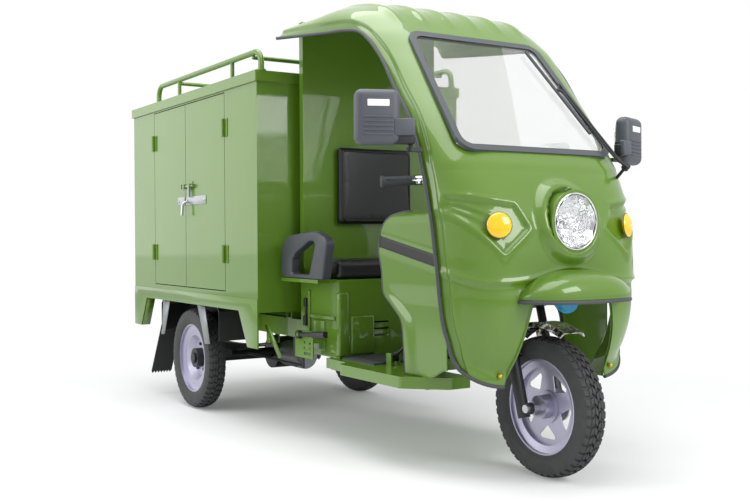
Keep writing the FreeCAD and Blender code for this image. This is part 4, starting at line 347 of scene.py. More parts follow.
def smooth(low, high, value):
    """Eased 0 to 1 between two values."""
    s = min(max((value - low) / (high - low), 0), 1)
    return s * s * (3 - 2 * s)


def along(rows, share):
    """Smooth curve through rows of numbers whose first entry is their place along it."""
    i = 0
    while i < len(rows) - 2 and rows[i + 1][0] < share:
        i += 1
    four = [rows[max(min(i + k, len(rows) - 1), 0)] for k in (-1, 0, 1, 2)]
    span = four[2][0] - four[1][0]
    s = (share - four[1][0]) / span
    out = []
    for before, a, b, after in zip(*(row[1:] for row in four)):
        lead = (b - before) * span / max(four[2][0] - four[0][0], span)
        tail = (after - a) * span / max(four[3][0] - four[1][0], span)
        out.append((2 * s**3 - 3 * s**2 + 1) * a + (s**3 - 2 * s**2 + s) * lead
                   + (3 * s**2 - 2 * s**3) * b + (s**3 - s**2) * tail)
    return out


def across(share):
    """Even steps over the front that bunch up round the corner."""
    return math.sin(abs(share) * math.pi / 2) ** 0.9


def shell_point(side, girth):
    """Plain shell: side runs -1 to 1 between the door edges, girth 0 to 1 from the foot to the roof's end."""
    front_x, front_z, edge_x, edge_z, half, depth = along(shell_stations, girth)
    reach = math.hypot(edge_x - front_x, edge_z - front_z)
    edge = (1 - max(1 - reach / depth, 0) ** (1 / round_root)) ** (1 / round_power)
    part = across(side)
    if girth < brow:
        inner = arch_top_half + (arch_foot_half - arch_top_half) * math.sqrt(1 - girth / brow)
        start = across(arch_share)
        here = inner / half + (edge - inner / half) * (part - start) / (1 - start)
        part = here / edge if abs(side) >= arch_share else part
    part *= edge
    fall = depth * (1 - max(1 - part ** round_power, 0) ** round_root) / reach
    return Vector((axle_x + front_x + (edge_x - front_x) * fall, math.copysign(part * half, side),
                   front_z + (edge_z - front_z) * fall))


def girth_of(row_share):
    """More than half of the rows lie on the nose, where the pressed detail is."""
    if row_share < nose_rows:
        return row_share / nose_rows * sill
    return sill + (row_share - nose_rows) / (1 - nose_rows) * (1 - sill)


# Wave pressed over the visor: level, hump in the middle with its spread, kick up from a distance to the side
wave_z, wave_hump, wave_spread, wave_kick, kick_from = 0.663, 0.043, 0.15, 4.5, 0.32
wave_bead, wave_bead_half = 0.005, 0.011
# Heights over the wave's line between which the step under it ends
wave_edge = -0.006, 0.008
# Step along the sill of the screen
sill_step, sill_step_z, sill_step_half = 0.004, 1.045, 0.005


def wave_height(y):
    """Line of the wave."""
    return wave_z + wave_hump * math.exp(-(y / wave_spread) ** 2) + wave_kick * max(abs(y) - kick_from, 0) ** 2


# Pressed wing round each indicator: corners of its border on the nose, as (y from the middle, z)
wing_corners = ((0.398, 0.945), (0.212, 0.920), (0.174, 0.843), (0.272, 0.764), (0.406, 0.906))
# The pressed step dies out towards the door edge and, as a share of the girth, towards the foot
edge_fade = 0.08
foot_fade = 0.05
wing_depth = 0.012
wing_edge = 0.016
wing_bead = 0.005
# Two fine ridges that run from the wing's outer corner, as (y, z) of their ends
wing_ridges = (((0.388, 0.925), (0.305, 0.892)), ((0.392, 0.905), (0.315, 0.858)))
ridge_rise = 0.007
ridge_half = 0.007
ridge_fade = 0.6


def wing_inside(y, z):
    """Distance inside the wing's border, negative outside."""
    least = 1.0
    for a, b in zip(wing_corners, wing_corners[1:] + wing_corners[:1]):
        run = Vector((b[0] - a[0], b[1] - a[1]))
        least = min(least, ((z - a[1]) * run.x - (y - a[0]) * run.y) / run.length)
    return least


def nose_relief(point, edge_point, girth):
    """Outward rise of the pressed detail at a point of the shell."""
    y, z = point.y, point.z
    rise = 0.0
    if girth < screen_foot:
        around = math.hypot(y, z - lamp_z)
        rise += collar_rise * (1 - smooth(lamp_hole + collar_flat, collar_reach, around))
        inland = smooth(0, edge_fade, (point - edge_point).length) * smooth(0, foot_fade, girth)
        above = z - wave_height(y)
        rise -= lower_step * inland * (1 - smooth(*wave_edge, above))
        rise += wave_bead * math.exp(-(above / wave_bead_half) ** 2)
        inside = wing_inside(abs(y), z)
        rise -= wing_depth * smooth(-wing_edge / 2, wing_edge / 2, inside)
        rise += wing_bead * math.exp(-(inside / wing_edge) ** 2)
        for a, b in wing_ridges:
            run = Vector(b) - Vector(a)
            here = Vector((abs(y), z)) - Vector(a)
            share = min(max(here.dot(run) / run.length_squared, 0), 1)
            rise += ridge_rise * (1 - ridge_fade * share) * math.exp(-((here - run * share).length / ridge_half) ** 2)
        rise -= sill_step * inland * (1 - smooth(sill_step_z - sill_step_half, sill_step_z + sill_step_half, z))
        if around < lamp_hole:
            rise -= lamp_sink
    rise -= flange_step * (1 - smooth(*flange_edge, (point - edge_point).length))
    if girth > screen_head:
        first = -rib_pitch * (rib_count - 1) / 2
        ribs = sum(math.exp(-((y - first - i * rib_pitch) / rib_half) ** 2) for i in range(rib_count))
        rise += rib_rise * ribs * smooth(*rib_edge, girth)
    return rise


shape = bmesh.new()
bmesh.ops.create_grid(shape, x_segments=shell_columns, y_segments=shell_rows, size=0.5)
open_arch = [f for f in shape.faces
             if abs(f.calc_center_median().x) * 2 < arch_share and girth_of(f.calc_center_median().y + 0.5) < brow]
bmesh.ops.delete(shape, geom=open_arch, context="FACES")
flat = {v: (v.co.x * 2, girth_of(v.co.y + 0.5)) for v in shape.verts}
for vert, (side, girth) in flat.items():
    vert.co = shell_point(side, girth)
shape.normal_update()
outward = {v: v.normal.copy() for v in shape.verts}
turn = 1 if sum(n.x for n in outward.values()) > 0 else -1
for vert, (side, girth) in flat.items():
    edge_point = shell_point(math.copysign(1, side), girth)
    vert.co += outward[vert] * turn * nose_relief(vert.co, edge_point, girth)

# The screen opening, hidden under the middle of its gasket
screen_corner = 0.062
gasket_half = 0.013
screen_reach = 0.05
screen_base = Vector((axle_x + 1.949, 0, 1.097))
screen_up = Vector((axle_x + 1.567, 0, 1.552)) - screen_base
screen_length = screen_up.length
screen_up.normalize()
screen_out = Vector((screen_up.z, 0, -screen_up.x))
screen_foot_half = 0.348
screen_head_half = 0.303


def in_screen(point, grow):
    """True inside the rounded outline of the screen, grown outwards."""
    high = (point - screen_base).dot(screen_up)
    if abs((point - screen_base).dot(screen_out)) > screen_reach:
        return False
    half = screen_foot_half + (screen_head_half - screen_foot_half) * high / screen_length + grow
    low_edge, top_edge = -grow, screen_length + grow
    if not (low_edge < high < top_edge and abs(point.y) < half):
        return False
    bend = screen_corner + grow
    a = max(abs(point.y) - (half - bend), 0)
    b = max(low_edge + bend - high, high - (top_edge - bend), 0)
    return math.hypot(a, b) < bend


glazed = [f for f in shape.faces if in_screen(f.calc_center_median(), -gasket_half)]
bmesh.ops.delete(shape, geom=glazed, context="FACES")


def piece(name, made, finish, replaced=(), body="chassis"):
    """Turns a bmesh into a smooth-shaded piece that rides on a body."""
    done = placed(name, made)
    done.data.polygons.foreach_set("use_smooth", [True] * len(done.data.polygons))
    done.data.materials.append(finish)
    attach(done, body)
    if replaced:
        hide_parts(*replaced)
    return done


def face_out(made, axis, sign=1):
    """Turns all faces one way, so that on the whole they look along an axis."""
    bmesh.ops.recalc_face_normals(made, faces=made.faces)
    if sum(f.normal[axis] for f in made.faces) * sign < 0:
        bmesh.ops.reverse_faces(made, faces=made.faces)


def thicken(made, thickness):
    """Gives a piece drawn as a surface its thickness, inwards."""
    skin = made.modifiers.new("sheet", "SOLIDIFY")
    skin.thickness = thickness
    skin.offset = -1


def surface_grid(columns, rows, place_of):
    """Grid whose points come from a function of two shares."""
    made = bmesh.new()
    bmesh.ops.create_grid(made, x_segments=columns, y_segments=rows, size=0.5)
    for vert in made.verts:
        vert.co = place_of(vert.co.x + 0.5, 0.5 - vert.co.y)
    return made


face_out(shape, 0)
thicken(piece("cab_shell", shape, enamel, ("front_fairing", "cab_roof")), wall)


# Wheel visor
# A hood moulded in green glass fibre over the front wheel, bonded to the nose below the wave,
# with a black rubber bead pushed over its lip.
visor_root = axle_x + 2.084
visor_reach = 0.135
visor_half = 0.222
visor_lip = 0.607
visor_lip_height = 0.014
visor_rise = 0.086
visor_wall = 0.004
visor_columns = 64
visor_rows = 18


def visor_point(share, drop):
    """Hood surface: share 0 to 1 across, drop 0 at the nose to 1 at the lip."""
    side = math.sin((share - 0.5) * math.pi)
    turn = drop * math.pi / 2
    flat_front = (1 - abs(side) ** 3.2) ** 0.5
    rise = visor_rise * (1 - abs(side) ** 2.6) ** 0.7
    return Vector((visor_root + visor_reach * flat_front * math.sin(turn) ** 0.75, visor_half * side,
                   visor_lip + visor_lip_height + rise * max(math.cos(turn), 0) ** 0.8))


shape = surface_grid(visor_columns, visor_rows, lambda share, up: visor_point(share, 1 - up))
lip = [e for e in shape.edges if e.is_boundary and all(abs(v.co.z - visor_lip - visor_lip_height) < 0.001
                                                       for v in e.verts)]
made = bmesh.ops.extrude_edge_only(shape, edges=lip)
bmesh.ops.translate(shape, vec=(0, 0, -visor_lip_height),
                    verts=[v for v in made["geom"] if isinstance(v, bmesh.types.BMVert)])
face_out(shape, 0)
thicken(piece("wheel_visor", shape, enamel, ("fairing_visor",)), visor_wall)


# Rubber beading
# Black push-on beading along the door edges of the cab shell, round the foot of each lobe of the nose
# and on the visor's lip. Drawn as round tube along the edge.
bead_radius = 0.0065
bead_steps = 90


def tube(name, runs, radius, finish, replaced=(), body="chassis"):
    """Round tube along one or more runs of points."""
    path = bpy.data.curves.new(name, "CURVE")
    path.dimensions = "3D"
    path.bevel_depth = radius
    path.bevel_resolution = 3
    path.use_fill_caps = True
    for run in runs:
        line = path.splines.new("POLY")
        line.points.add(len(run) - 1)
        for knot, point in zip(line.points, run):
            knot.co = (point[0], point[1], point[2], 1)
    drawn = bpy.data.objects.new(name, path)
    mesh = bpy.data.meshes.new_from_object(drawn)
    bpy.data.objects.remove(drawn)
    bpy.data.curves.remove(path)
    made = bmesh.new()
    made.from_mesh(mesh)
    bpy.data.meshes.remove(mesh)
    return piece(name, made, finish, replaced, body)


door_edges = [[shell_point(side, i / bead_steps) for i in range(bead_steps + 1)] for side in (-1, 1)]
foot_edges = [[shell_point(side * (arch_share + (1 - arch_share) * i / bead_steps), 0)
               for i in range(bead_steps + 1)] for side in (-1, 1)]
tube("edge_beading", door_edges + foot_edges, bead_radius, rubber, ("edge_trim",))
lip_line = [visor_point(i / bead_steps, 1) - Vector((0, 0, visor_lip_height)) for i in range(bead_steps + 1)]
tube("visor_beading", [lip_line], bead_radius, rubber)


# Tyres
# Block-tread motor-tricycle tyres: a moulded carcass with two rows of zigzag blocks in the middle
# and square shoulder blocks that run down onto the sidewall.
tyre_radius = 0.239
block_height = 0.008
tread_half = 0.040
tread_fall = 0.010
tread_pitches = 46
carcass_steps = 144
block_spread = 1.02
# Only faces smaller than this, those of the carcass, are shaded smooth
smooth_area = 4e-5
carcass = ((0.160, 0.029), (0.163, 0.035), (0.176, 0.042), (0.190, 0.0455), (0.203, 0.046), (0.214, 0.0445),
           (0.224, 0.041), (0.2285, 0.030), (0.2305, 0.015), (0.231, 0.0))
# Tread rows on one side: inner and outer y, start and length as shares of a pitch, skew in pitches
tread_rows = ((0.0015, 0.012, 0.06, 0.62, 0.30), (0.0145, 0.025, 0.36, 0.62, -0.30), (0.0275, 0.041, 0.08, 0.66, 0.10))


def tread_radius(y):
    """Radius of the tread surface at a distance from the middle plane."""
    return tyre_radius - tread_fall * (abs(y) / tread_half) ** 2.4


def tyre_shape():
    """Carcass turned round the axle, with its tread blocks set on."""
    made = bmesh.new()
    line = [made.verts.new((r, y, 0)) for r, y in carcass]
    line += [made.verts.new((r, -y, 0)) for r, y in carcass[-2::-1]]
    rim_edges = [made.edges.new(pair) for pair in zip(line, line[1:])]
    bmesh.ops.spin(made, geom=line + rim_edges, axis=(0, 1, 0), cent=(0, 0, 0), steps=carcass_steps, angle=math.tau,
                   use_merge=True)
    pitch = math.tau / tread_pitches
    for i in range(tread_pitches):
        for side in (-1, 1):
            for near, far, start, length, skew in tread_rows:
                corners = []
                for y, along_block in ((near, 0), (far, 0), (far, 1), (near, 1)):
                    lean = skew * (y - near) / (far - near)
                    turn = (i + start + length * along_block + lean + (0.5 if side > 0 else 0)) * pitch
                    corners.append((turn, side * y))
                tops, feet = ([made.verts.new((math.cos(t) * (tread_radius(y) - sink), y * spread,
                                               math.sin(t) * (tread_radius(y) - sink))) for t, y in corners]
                              for sink, spread in ((0, 1), (block_height, block_spread)))
                made.faces.new(tops)
                for k in range(4):
                    made.faces.new((tops[k], feet[k], feet[(k + 1) % 4], tops[(k + 1) % 4]))
    bmesh.ops.recalc_face_normals(made, faces=made.faces)
    return made


for tyre, body in (("front_tyre", "front_wheel"), ("rear_tyre_right", "rear_wheel_right"),
                   ("rear_tyre_left", "rear_wheel_left")):
    low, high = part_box(tyre)
    shape = tyre_shape()
    bmesh.ops.translate(shape, vec=(low + high) / 2, verts=shape.verts)
    treaded = piece("treaded_" + tyre, shape, tyre_rubber, (tyre,), body)
    treaded.data.polygons.foreach_set("use_smooth", [len(p.vertices) == 4 and p.area < smooth_area
                                                     for p in treaded.data.polygons])


# Headlamp
# Pressed reflector of many flat facets behind a domed clear glass, with a bulb shield in the middle
# and a narrow chrome bezel; all of it sits in the collar of the nose.
lamp_face = lamp_high.x
bezel_radius = 0.092
bezel_tube = 0.003
bezel_proud = 0.001
bowl_radius = 0.088
bowl_depth = 0.058
bowl_hole = 0.14
facet_rings = 7
facet_count = 18
facet_tilt = 0.008
facet_scatter = 12.99
bulb_radius = 0.016
bulb_back = 0.035
shape = bmesh.new()
line = [shape.verts.new((lamp_face - bowl_depth * (1 - (i / facet_rings) ** 2),
                         bowl_radius * (bowl_hole + (1 - bowl_hole) * i / facet_rings), lamp_z))
        for i in range(facet_rings + 1)]
run = [shape.edges.new(pair) for pair in zip(line, line[1:])]
bmesh.ops.spin(shape, geom=line + run, axis=(1, 0, 0), cent=(0, 0, lamp_z), steps=facet_count, angle=math.tau,
               use_merge=True)
for i, vert in enumerate(shape.verts):
    vert.co.x += facet_tilt * math.sin(i * facet_scatter)
reflector = piece("lamp_reflector", shape, chrome)
reflector.data.polygons.foreach_set("use_smooth", [False] * len(reflector.data.polygons))


def ring_of(radius, count):
    """Closed ring of points in a plane."""
    turns = [i * math.tau / count for i in range(count + 1)]
    return [(radius * math.cos(turn), radius * math.sin(turn)) for turn in turns]


def ball(radius, place, rings):
    """Small sphere."""
    made = bmesh.new()
    bmesh.ops.create_uvsphere(made, u_segments=2 * rings, v_segments=rings, radius=radius)
    bmesh.ops.translate(made, vec=place, verts=made.verts)
    return made


ring = [(lamp_face + bezel_proud, y, lamp_z + z) for y, z in ring_of(bezel_radius, 72)]
tube("lamp_bezel", [ring], bezel_tube, chrome)
shield = ball(bulb_radius, (lamp_face - bulb_back, 0, lamp_z), 12)
piece("lamp_bulb_shield", shield, chrome)


# Indicators
# Round amber lenses, gently domed, set into the wings of the nose in a thin black ring.
indicator_x = 2.066
indicator_z = 0.852
indicator_y = 0.285
lens_radius = 0.041
lens_dome = 0.013
lens_ring = 0.0018
# Way that the lenses face
lens_ahead, lens_outwards, lens_up = 0.90, 0.42, 0.10
for side in (-1, 1):
    seat = Vector((axle_x + indicator_x, side * indicator_y, indicator_z))
    facing = Vector((lens_ahead, side * lens_outwards, lens_up)).to_track_quat("Z", "Y").to_matrix().to_4x4()
    shape = ball(1, (0, 0, 0), 20)
    bmesh.ops.scale(shape, vec=(lens_radius, lens_radius, lens_dome), verts=shape.verts)
    bmesh.ops.transform(shape, matrix=Matrix.Translation(seat) @ facing, verts=shape.verts)
    piece("indicator_lens_%d" % side, shape, amber, ("indicators",))
    ring = [seat + facing @ Vector((x, y, 0)) for x, y in ring_of(lens_radius, 48)]
    tube("indicator_ring_%d" % side, [ring], lens_ring, rubber)


# Seat and backrest
# Foam blocks upholstered in black grained vinyl, welded round the border; the foam pushes the cover out.
# The pressure is worked out as cloth, so both rest as cushions do.
vinyl_black = "#0e0e10"
vinyl_pebble_mm = 2.2
pad_shrink = 0.004
pad_bevel = 0.018
pad_voxel = 0.006
pad_limit = 0.006
pad_pressure = 4.0
pad_frames = 20
tiny = 1e-9


def puffed(shape, limit):
    """Blows a closed mesh out as cloth and caps how far any point moves."""
    pad = placed("pad", shape)
    remesh = pad.modifiers.new("even", "REMESH")
    remesh.mode = "VOXEL"
    remesh.voxel_size = pad_voxel
    flat = bpy.data.meshes.new_from_object(pad.evaluated_get(bpy.context.evaluated_depsgraph_get()))
    pad.modifiers.clear()
    pad.data = flat
    rest = [v.co.copy() for v in flat.vertices]
    cloth = pad.modifiers.new("foam", "CLOTH")
    cloth.settings.use_pressure = True
    cloth.settings.uniform_pressure_force = pad_pressure
    cloth.settings.effector_weights.gravity = 0
    cloth.point_cache.frame_start = 1
    cloth.point_cache.frame_end = pad_frames
    for frame_number in range(1, pad_frames + 1):
        scene.frame_set(frame_number)
    blown = bpy.data.meshes.new_from_object(pad.evaluated_get(bpy.context.evaluated_depsgraph_get()))
    scene.frame_set(1)
    for v, start in zip(flat.vertices, rest):
        step = blown.vertices[v.index].co - start
        v.co = start + step * min(1, limit / max(step.length, tiny))
    out = bmesh.new()
    out.from_mesh(flat)
    bpy.data.objects.remove(pad)
    return out


def bevelled(made, edges, offset, segments):
    """Rounds edges off."""
    bmesh.ops.bevel(made, geom=edges, offset=offset, segments=segments, profile=0.5, affect="EDGES", material=-1)


def block(low, high, bevel, segments=3):
    """Box between two corners with rounded edges."""
    made = bmesh.new()
    bmesh.ops.create_cube(made, size=1)
    for vert in made.verts:
        vert.co = Vector([(low[k] + high[k]) / 2 + vert.co[k] * (high[k] - low[k]) for k in range(3)])
    if bevel:
        bevelled(made, made.edges[:], bevel, segments)
    return made


vinyl = surface("grained_vinyl", vinyl_black, 0.42, relief=(0.25, 0.0005, vinyl_pebble_mm))
for node, body in (("seat_cushion", "seat"), ("backrest_cushion", "chassis")):
    low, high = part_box(node)
    foam = puffed(block([c + pad_shrink for c in low], [c - pad_shrink for c in high], pad_bevel, 4), pad_limit)
    cover = piece("upholstered_" + node, foam, vinyl, (node,), body)
    refine = cover.modifiers.new("fine", "SUBSURF")
    refine.levels = 1
    refine.render_levels = 1

# Piping sewn round the face of the backrest
piping = 0.004
piping_sink = 0.002
inset = 0.024
round_corner = 0.022


def rounded_frame(y0, y1, z0, z1, corner, steps):
    """Points of a closed frame with round corners, in the plane of two coordinates."""
    points = []
    for cy, cz, turn in ((y1 - corner, z1 - corner, 0), (y0 + corner, z1 - corner, 1), (y0 + corner, z0 + corner, 2),
                         (y1 - corner, z0 + corner, 3)):
        for i in range(steps + 1):
            a = (turn + i / steps) * math.pi / 2
            points.append((cy + corner * math.cos(a), cz + corner * math.sin(a)))
    return points + points[:1]


low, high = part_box("backrest_cushion")
seam = rounded_frame(low.y + inset, high.y - inset, low.z + inset, high.z - inset, round_corner, 6)
tube("backrest_piping", [[(high.x - piping_sink, y, z) for y, z in seam]], piping, vinyl)


# Mirrors
# Moulded dark-grey housings turned a little outwards on their pins, with pressed ridges across the lower
# half, a white marker lens above and a silvered glass behind.
mirror_turn = math.radians(22)
mirror_round = 0.026
pin_y = 0.470
boss_half = 0.011
case_inner = 0.506
case_outer = 0.656
# Bottom and top of the right and the left housing
case_heights = {-1: (1.112, 1.292), 1: (1.088, 1.268)}
case_lead = 0.030
case_depth = 0.060
ridge_count = 5
ridge_height = 0.007
ridge_proud = 0.0035
marker_half = Vector((0.003, 0.036, 0.011))
marker_drop = 0.046
arm_bottom, arm_top = 1.116, 1.160
# Neck between the housing and the pin: heights over the housing's bottom, and depth
neck_low, neck_high, neck_depth = 0.030, 0.086, 0.020
glass_inset = 0.010
neck_proud, ridge_sink = 0.002, 0.004
pane_proud, pane_sink = 0.001, 0.002
arm_round, neck_round, ridge_round, marker_round = 0.005, 0.006, 0.003, 0.0028
silver = surface("silvered_glass", "#dfe6e6", 0.03, 1.0)
marker = surface("white_lens", "#f2f4f4", 0.2)
bracket_low, bracket_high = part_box("mirror_brackets")
pin_x = (bracket_low.x + bracket_high.x) / 2
front, rear = pin_x + case_lead, pin_x + case_lead - case_depth


def joined(parts):
    """Several bmeshes as one."""
    whole = parts[0]
    for part in parts[1:]:
        mesh = bpy.data.meshes.new("part")
        part.to_mesh(mesh)
        part.free()
        whole.from_mesh(mesh)
        bpy.data.meshes.remove(mesh)
    return whole


for node, body, side in (("mirror_right", "mirror_rt", -1), ("mirror_left", "mirror_lt", 1)):
    pin = Vector((pin_x, side * pin_y, 0))
    y0, y1 = sorted((side * case_inner, side * case_outer))
    n0, n1 = sorted((side * (pin_y - boss_half), side * (case_inner + mirror_round)))
    z0, z1 = case_heights[side]
    arm = block((pin_x - boss_half, n0, arm_bottom), (pin_x + boss_half * 2, n1, arm_top), arm_round)
    case = [block((rear, y0, z0), (front, y1, z1), mirror_round, 5),
            block((front - neck_depth, n0, z0 + neck_low), (front + neck_proud, n1, z0 + neck_high), neck_round)]
    for i in range(ridge_count):
        z = z0 + neck_low + 2 * ridge_height * i
        case.append(block((front - ridge_sink, y0 + mirror_round, z),
                          (front + ridge_proud, y1 - mirror_round, z + ridge_height), ridge_round))
    pane = block((rear - pane_proud, y0 + glass_inset, z0 + glass_inset),
                 (rear + pane_sink, y1 - glass_inset, z1 - glass_inset), 0)
    lens = Vector((front, (y0 + y1) / 2, z1 - marker_drop))
    swing = Matrix.Translation(pin) @ Matrix.Rotation(side * mirror_turn, 4, "Z") @ Matrix.Translation(-pin)
    for suffix, shape, finish, slot_name, replaced in (
            ("_case", joined(case), plastic, "dark_plastic", (node,)), ("_arm", arm, black, "black_paint", ()),
            ("_glass", pane, silver, "bright", ()),
            ("_marker", block(lens - marker_half, lens + marker_half, marker_round), marker, "clear", ())):
        bmesh.ops.transform(shape, matrix=swing, verts=shape.verts)
        piece(node + suffix, shape, finish, replaced, body)


# Leg shields
# Green glass-fibre mouldings beside the driver's knees, curled in along the top and the rear edge, with rubber
# beading on that edge and a black strap across a shallow groove.
# Rear edge of the moulding from its top down, as (x from the rear axle, z)
shield_edge = ((0.0, 1.640, 0.905), (0.10, 1.560, 0.888), (0.20, 1.512, 0.841), (0.30, 1.491, 0.787),
               (0.44, 1.513, 0.698), (0.56, 1.525, 0.620), (0.64, 1.575, 0.578), (0.74, 1.634, 0.530),
               (0.85, 1.650, 0.458), (1.0, 1.660, 0.341))
shield_front = 1.893
shield_face = 0.374
shield_curl = 0.045
rear_curl = 0.006
foot_rise = 0.035
# Shares forward and down from which the foot rises
foot_from, foot_below = 0.55, 0.8
shield_columns = 60
shield_rows = 90
strap_rear_z, strap_front_z = 0.800, 0.732
strap_half = 0.019
strap_rear = 1.500
strap_run = 0.36
strap_thick = 0.002
strap_gap, strap_sink = 0.006, 0.0015
groove_depth, groove_half = 0.006, 0.026
knee_depth = 0.010
# Heights, and distances from the rear edge, between which the knee hollow deepens
knee_heights, knee_inset = (0.66, 0.58), (0.02, 0.07)


def strap_height(x):
    """Middle of the strap at a distance from the rear axle."""
    return strap_rear_z + (strap_front_z - strap_rear_z) * (x - strap_rear) / strap_run


def shield_point(forward, down):
    """Right-hand moulding: forward 0 at its rear edge to 1 behind the nose, down 0 at the top to 1 at the floor."""
    edge_x, z = along(shield_edge, down)
    x = edge_x + (shield_front - edge_x) * forward
    z += foot_rise * smooth(foot_from, 1, forward) * smooth(foot_below, 1, down)
    rear = max(1 - (x - edge_x) / rear_curl, 0)
    top = max(1 - (shield_edge[0][2] - z) / shield_curl, 0)
    curl = rear_curl * (1 - math.sqrt(max(1 - rear * rear, 0)))
    curl += shield_curl * (1 - math.sqrt(max(1 - top * top, 0)))
    groove = groove_depth * math.exp(-((z - strap_height(x)) / groove_half) ** 4)
    knee = knee_depth * smooth(*knee_heights, z) * smooth(*knee_inset, x - edge_x)
    return Vector((axle_x + x, -shield_face + curl + groove + knee, z))


def strap_point(forward, across_strap):
    """Strap over the moulding: forward along it, across 0 at its top edge to 1 at its lower edge."""
    x = strap_rear + (shield_front - strap_gap - strap_rear) * forward
    return Vector((axle_x + x, -shield_face + strap_sink, strap_height(x) + strap_half * (1 - 2 * across_strap)))


for side in (-1, 1):
    flip = Matrix.Diagonal((1, -side, 1, 1))
    moulding = surface_grid(shield_columns, shield_rows, shield_point)
    strap = surface_grid(40, 6, strap_point)
    for shape in (moulding, strap):
        bmesh.ops.transform(shape, matrix=flip, verts=shape.verts)
        face_out(shape, 1, side)
    thicken(piece("leg_shield_%d" % side, moulding, enamel, ("leg_shields",)), wall)
    rim = [flip @ shield_point(0, i / bead_steps) for i in range(bead_steps + 1)]
    tube("shield_beading_%d" % side, [rim], bead_radius, rubber)
    thicken(piece("shield_strap_%d" % side, strap, vinyl), strap_thick)


# Armrests
# Moulded black nylon grab loops bolted to the seat deck, thick-walled with rounded edges.
# Nylon: dark grey-black with the same spark-eroded grain as the other plastic.
nylon_black = "#3a3d43"
armrest_y = 0.399
armrest_half = 0.021
armrest_bevel = 0.007
sharp_angle = 1.2
# Outline and window of the right-hand loop as (x from the rear axle, z)
armrest_outline = ((0.815, 0.652), (0.822, 0.776), (0.848, 0.806), (0.882, 0.824), (1.080, 0.840), (1.128, 0.834),
                   (1.180, 0.812), (1.196, 0.790), (1.160, 0.652))
armrest_window = ((0.908, 0.668), (0.908, 0.728), (0.935, 0.752), (1.050, 0.800), (1.086, 0.802), (1.104, 0.788),
                  (1.056, 0.668))
loop_steps = 96
corner_slack = 1e-6


def at_angle(points, middle, angle):
    """Where a ray from the middle meets a closed outline."""
    ray = Vector((math.cos(angle), math.sin(angle)))
    for a, b in zip(points, points[1:] + points[:1]):
        p, run = Vector(a) - middle, Vector(b) - Vector(a)
        cross = ray.x * run.y - ray.y * run.x
        if abs(cross) < tiny:
            continue
        far = (p.x * run.y - p.y * run.x) / cross
        share = (p.x * ray.y - p.y * ray.x) / cross
        if far > 0 and -corner_slack <= share <= 1 + corner_slack:
            return middle + ray * far
    return middle


window_middle = Vector((0.990, 0.722))
nylon = surface("black_nylon", nylon_black, 0.42, relief=(0.2, 0.0004, plastic_grain_mm))
rings = [[at_angle(outline, window_middle, i * math.tau / loop_steps) for i in range(loop_steps)]
         for outline in (armrest_outline, armrest_window)]
for side in (-1, 1):
    shape = bmesh.new()
    outer_a, outer_b, inner_a, inner_b = (
        [shape.verts.new((axle_x + spot.x, y, spot.y)) for spot in ring] for ring in rings
        for y in (side * armrest_y - armrest_half, side * armrest_y + armrest_half))
    for a, b in ((outer_a, outer_b), (outer_b, inner_b), (inner_b, inner_a), (inner_a, outer_a)):
        for i in range(loop_steps):
            k = (i + 1) % loop_steps
            shape.faces.new((a[i], a[k], b[k], b[i]))
    bmesh.ops.recalc_face_normals(shape, faces=shape.faces)
    sharp = [e for e in shape.edges if e.calc_face_angle(0) > sharp_angle]
    bevelled(shape, sharp, armrest_bevel, 3)
    piece("armrest_%d" % side, shape, nylon, ("armrests",))


# Load box base frame
# A folded steel frame round the foot of the box, laid over the valance and the tapered legs,
# so a seam runs round the box just above it.
box_side = -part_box("cargo_panels")[0].y
band_top = 0.560
band_bottom = 0.504
leg_bottom = 0.355
leg_foot = 0.100
leg_head = 0.186
band_out = 0.003
band_gap = 0.0003
band_bevel = 0.0012
return_inner, return_outer = 0.045, 0.0035
sheet_wall = 0.003
rear_x, front_x = axle_x - 0.730, axle_x + 0.788


def sheet(name, plates, thickness, finish):
    """Thin plates, each given by its corners."""
    shape = bmesh.new()
    for corners in plates:
        shape.faces.new([shape.verts.new(corner) for corner in corners])
    thicken(piece(name, shape, finish), thickness)


for side in (-1, 1):
    shape = bmesh.new()
    outline = [(rear_x, band_top), (rear_x, leg_bottom), (rear_x + leg_foot, leg_bottom),
               (rear_x + leg_head, band_bottom), (front_x - leg_head, band_bottom), (front_x - leg_foot, leg_bottom),
               (front_x, leg_bottom), (front_x, band_top)]
    face = shape.faces.new([shape.verts.new((x, side * (box_side + band_gap), z)) for x, z in outline])
    grown = bmesh.ops.extrude_face_region(shape, geom=[face])
    bmesh.ops.translate(shape, vec=(0, side * band_out, 0),
                        verts=[v for v in grown["geom"] if isinstance(v, bmesh.types.BMVert)])
    bmesh.ops.recalc_face_normals(shape, faces=shape.faces)
    bevelled(shape, shape.edges[:], band_bevel, 2)
    piece("base_frame_%d" % side, shape, enamel)
    # Returns folded inwards along the slanted edge of each leg
    for foot_x, head_x in ((rear_x + leg_foot, rear_x + leg_head), (front_x - leg_foot, front_x - leg_head)):
        inner, outer = side * (box_side - return_inner), side * (box_side - return_outer)
        corners = ((foot_x, outer, leg_bottom), (foot_x, inner, leg_bottom), (head_x, inner, band_bottom),
                   (head_x, outer, band_bottom))
        sheet("leg_return_%d" % side, [corners], sheet_wall, enamel)


# Rear wheel guards
# Pale grey steel strips carry the black inner guards of the rear wheels, one before and one behind each wheel.
# Grey primer: plain, half matt.
primer_grey = "#8d9193"
primer = surface("grey_primer", primer_grey, 0.45, 0.3)
strip_y = 0.502
# Corners of the front and the rear strip as (x from the rear axle, z)
guard_strips = (((0.118, 0.503), (0.206, 0.503), (0.262, 0.330), (0.205, 0.326)),
                ((-0.330, 0.503), (-0.238, 0.503), (-0.318, 0.330), (-0.362, 0.326)))
for side in (-1, 1):
    plates = [[(axle_x + x, side * strip_y, z) for x, z in corners] for corners in guard_strips]
    sheet("guard_strips_%d" % side, plates, sheet_wall, primer)


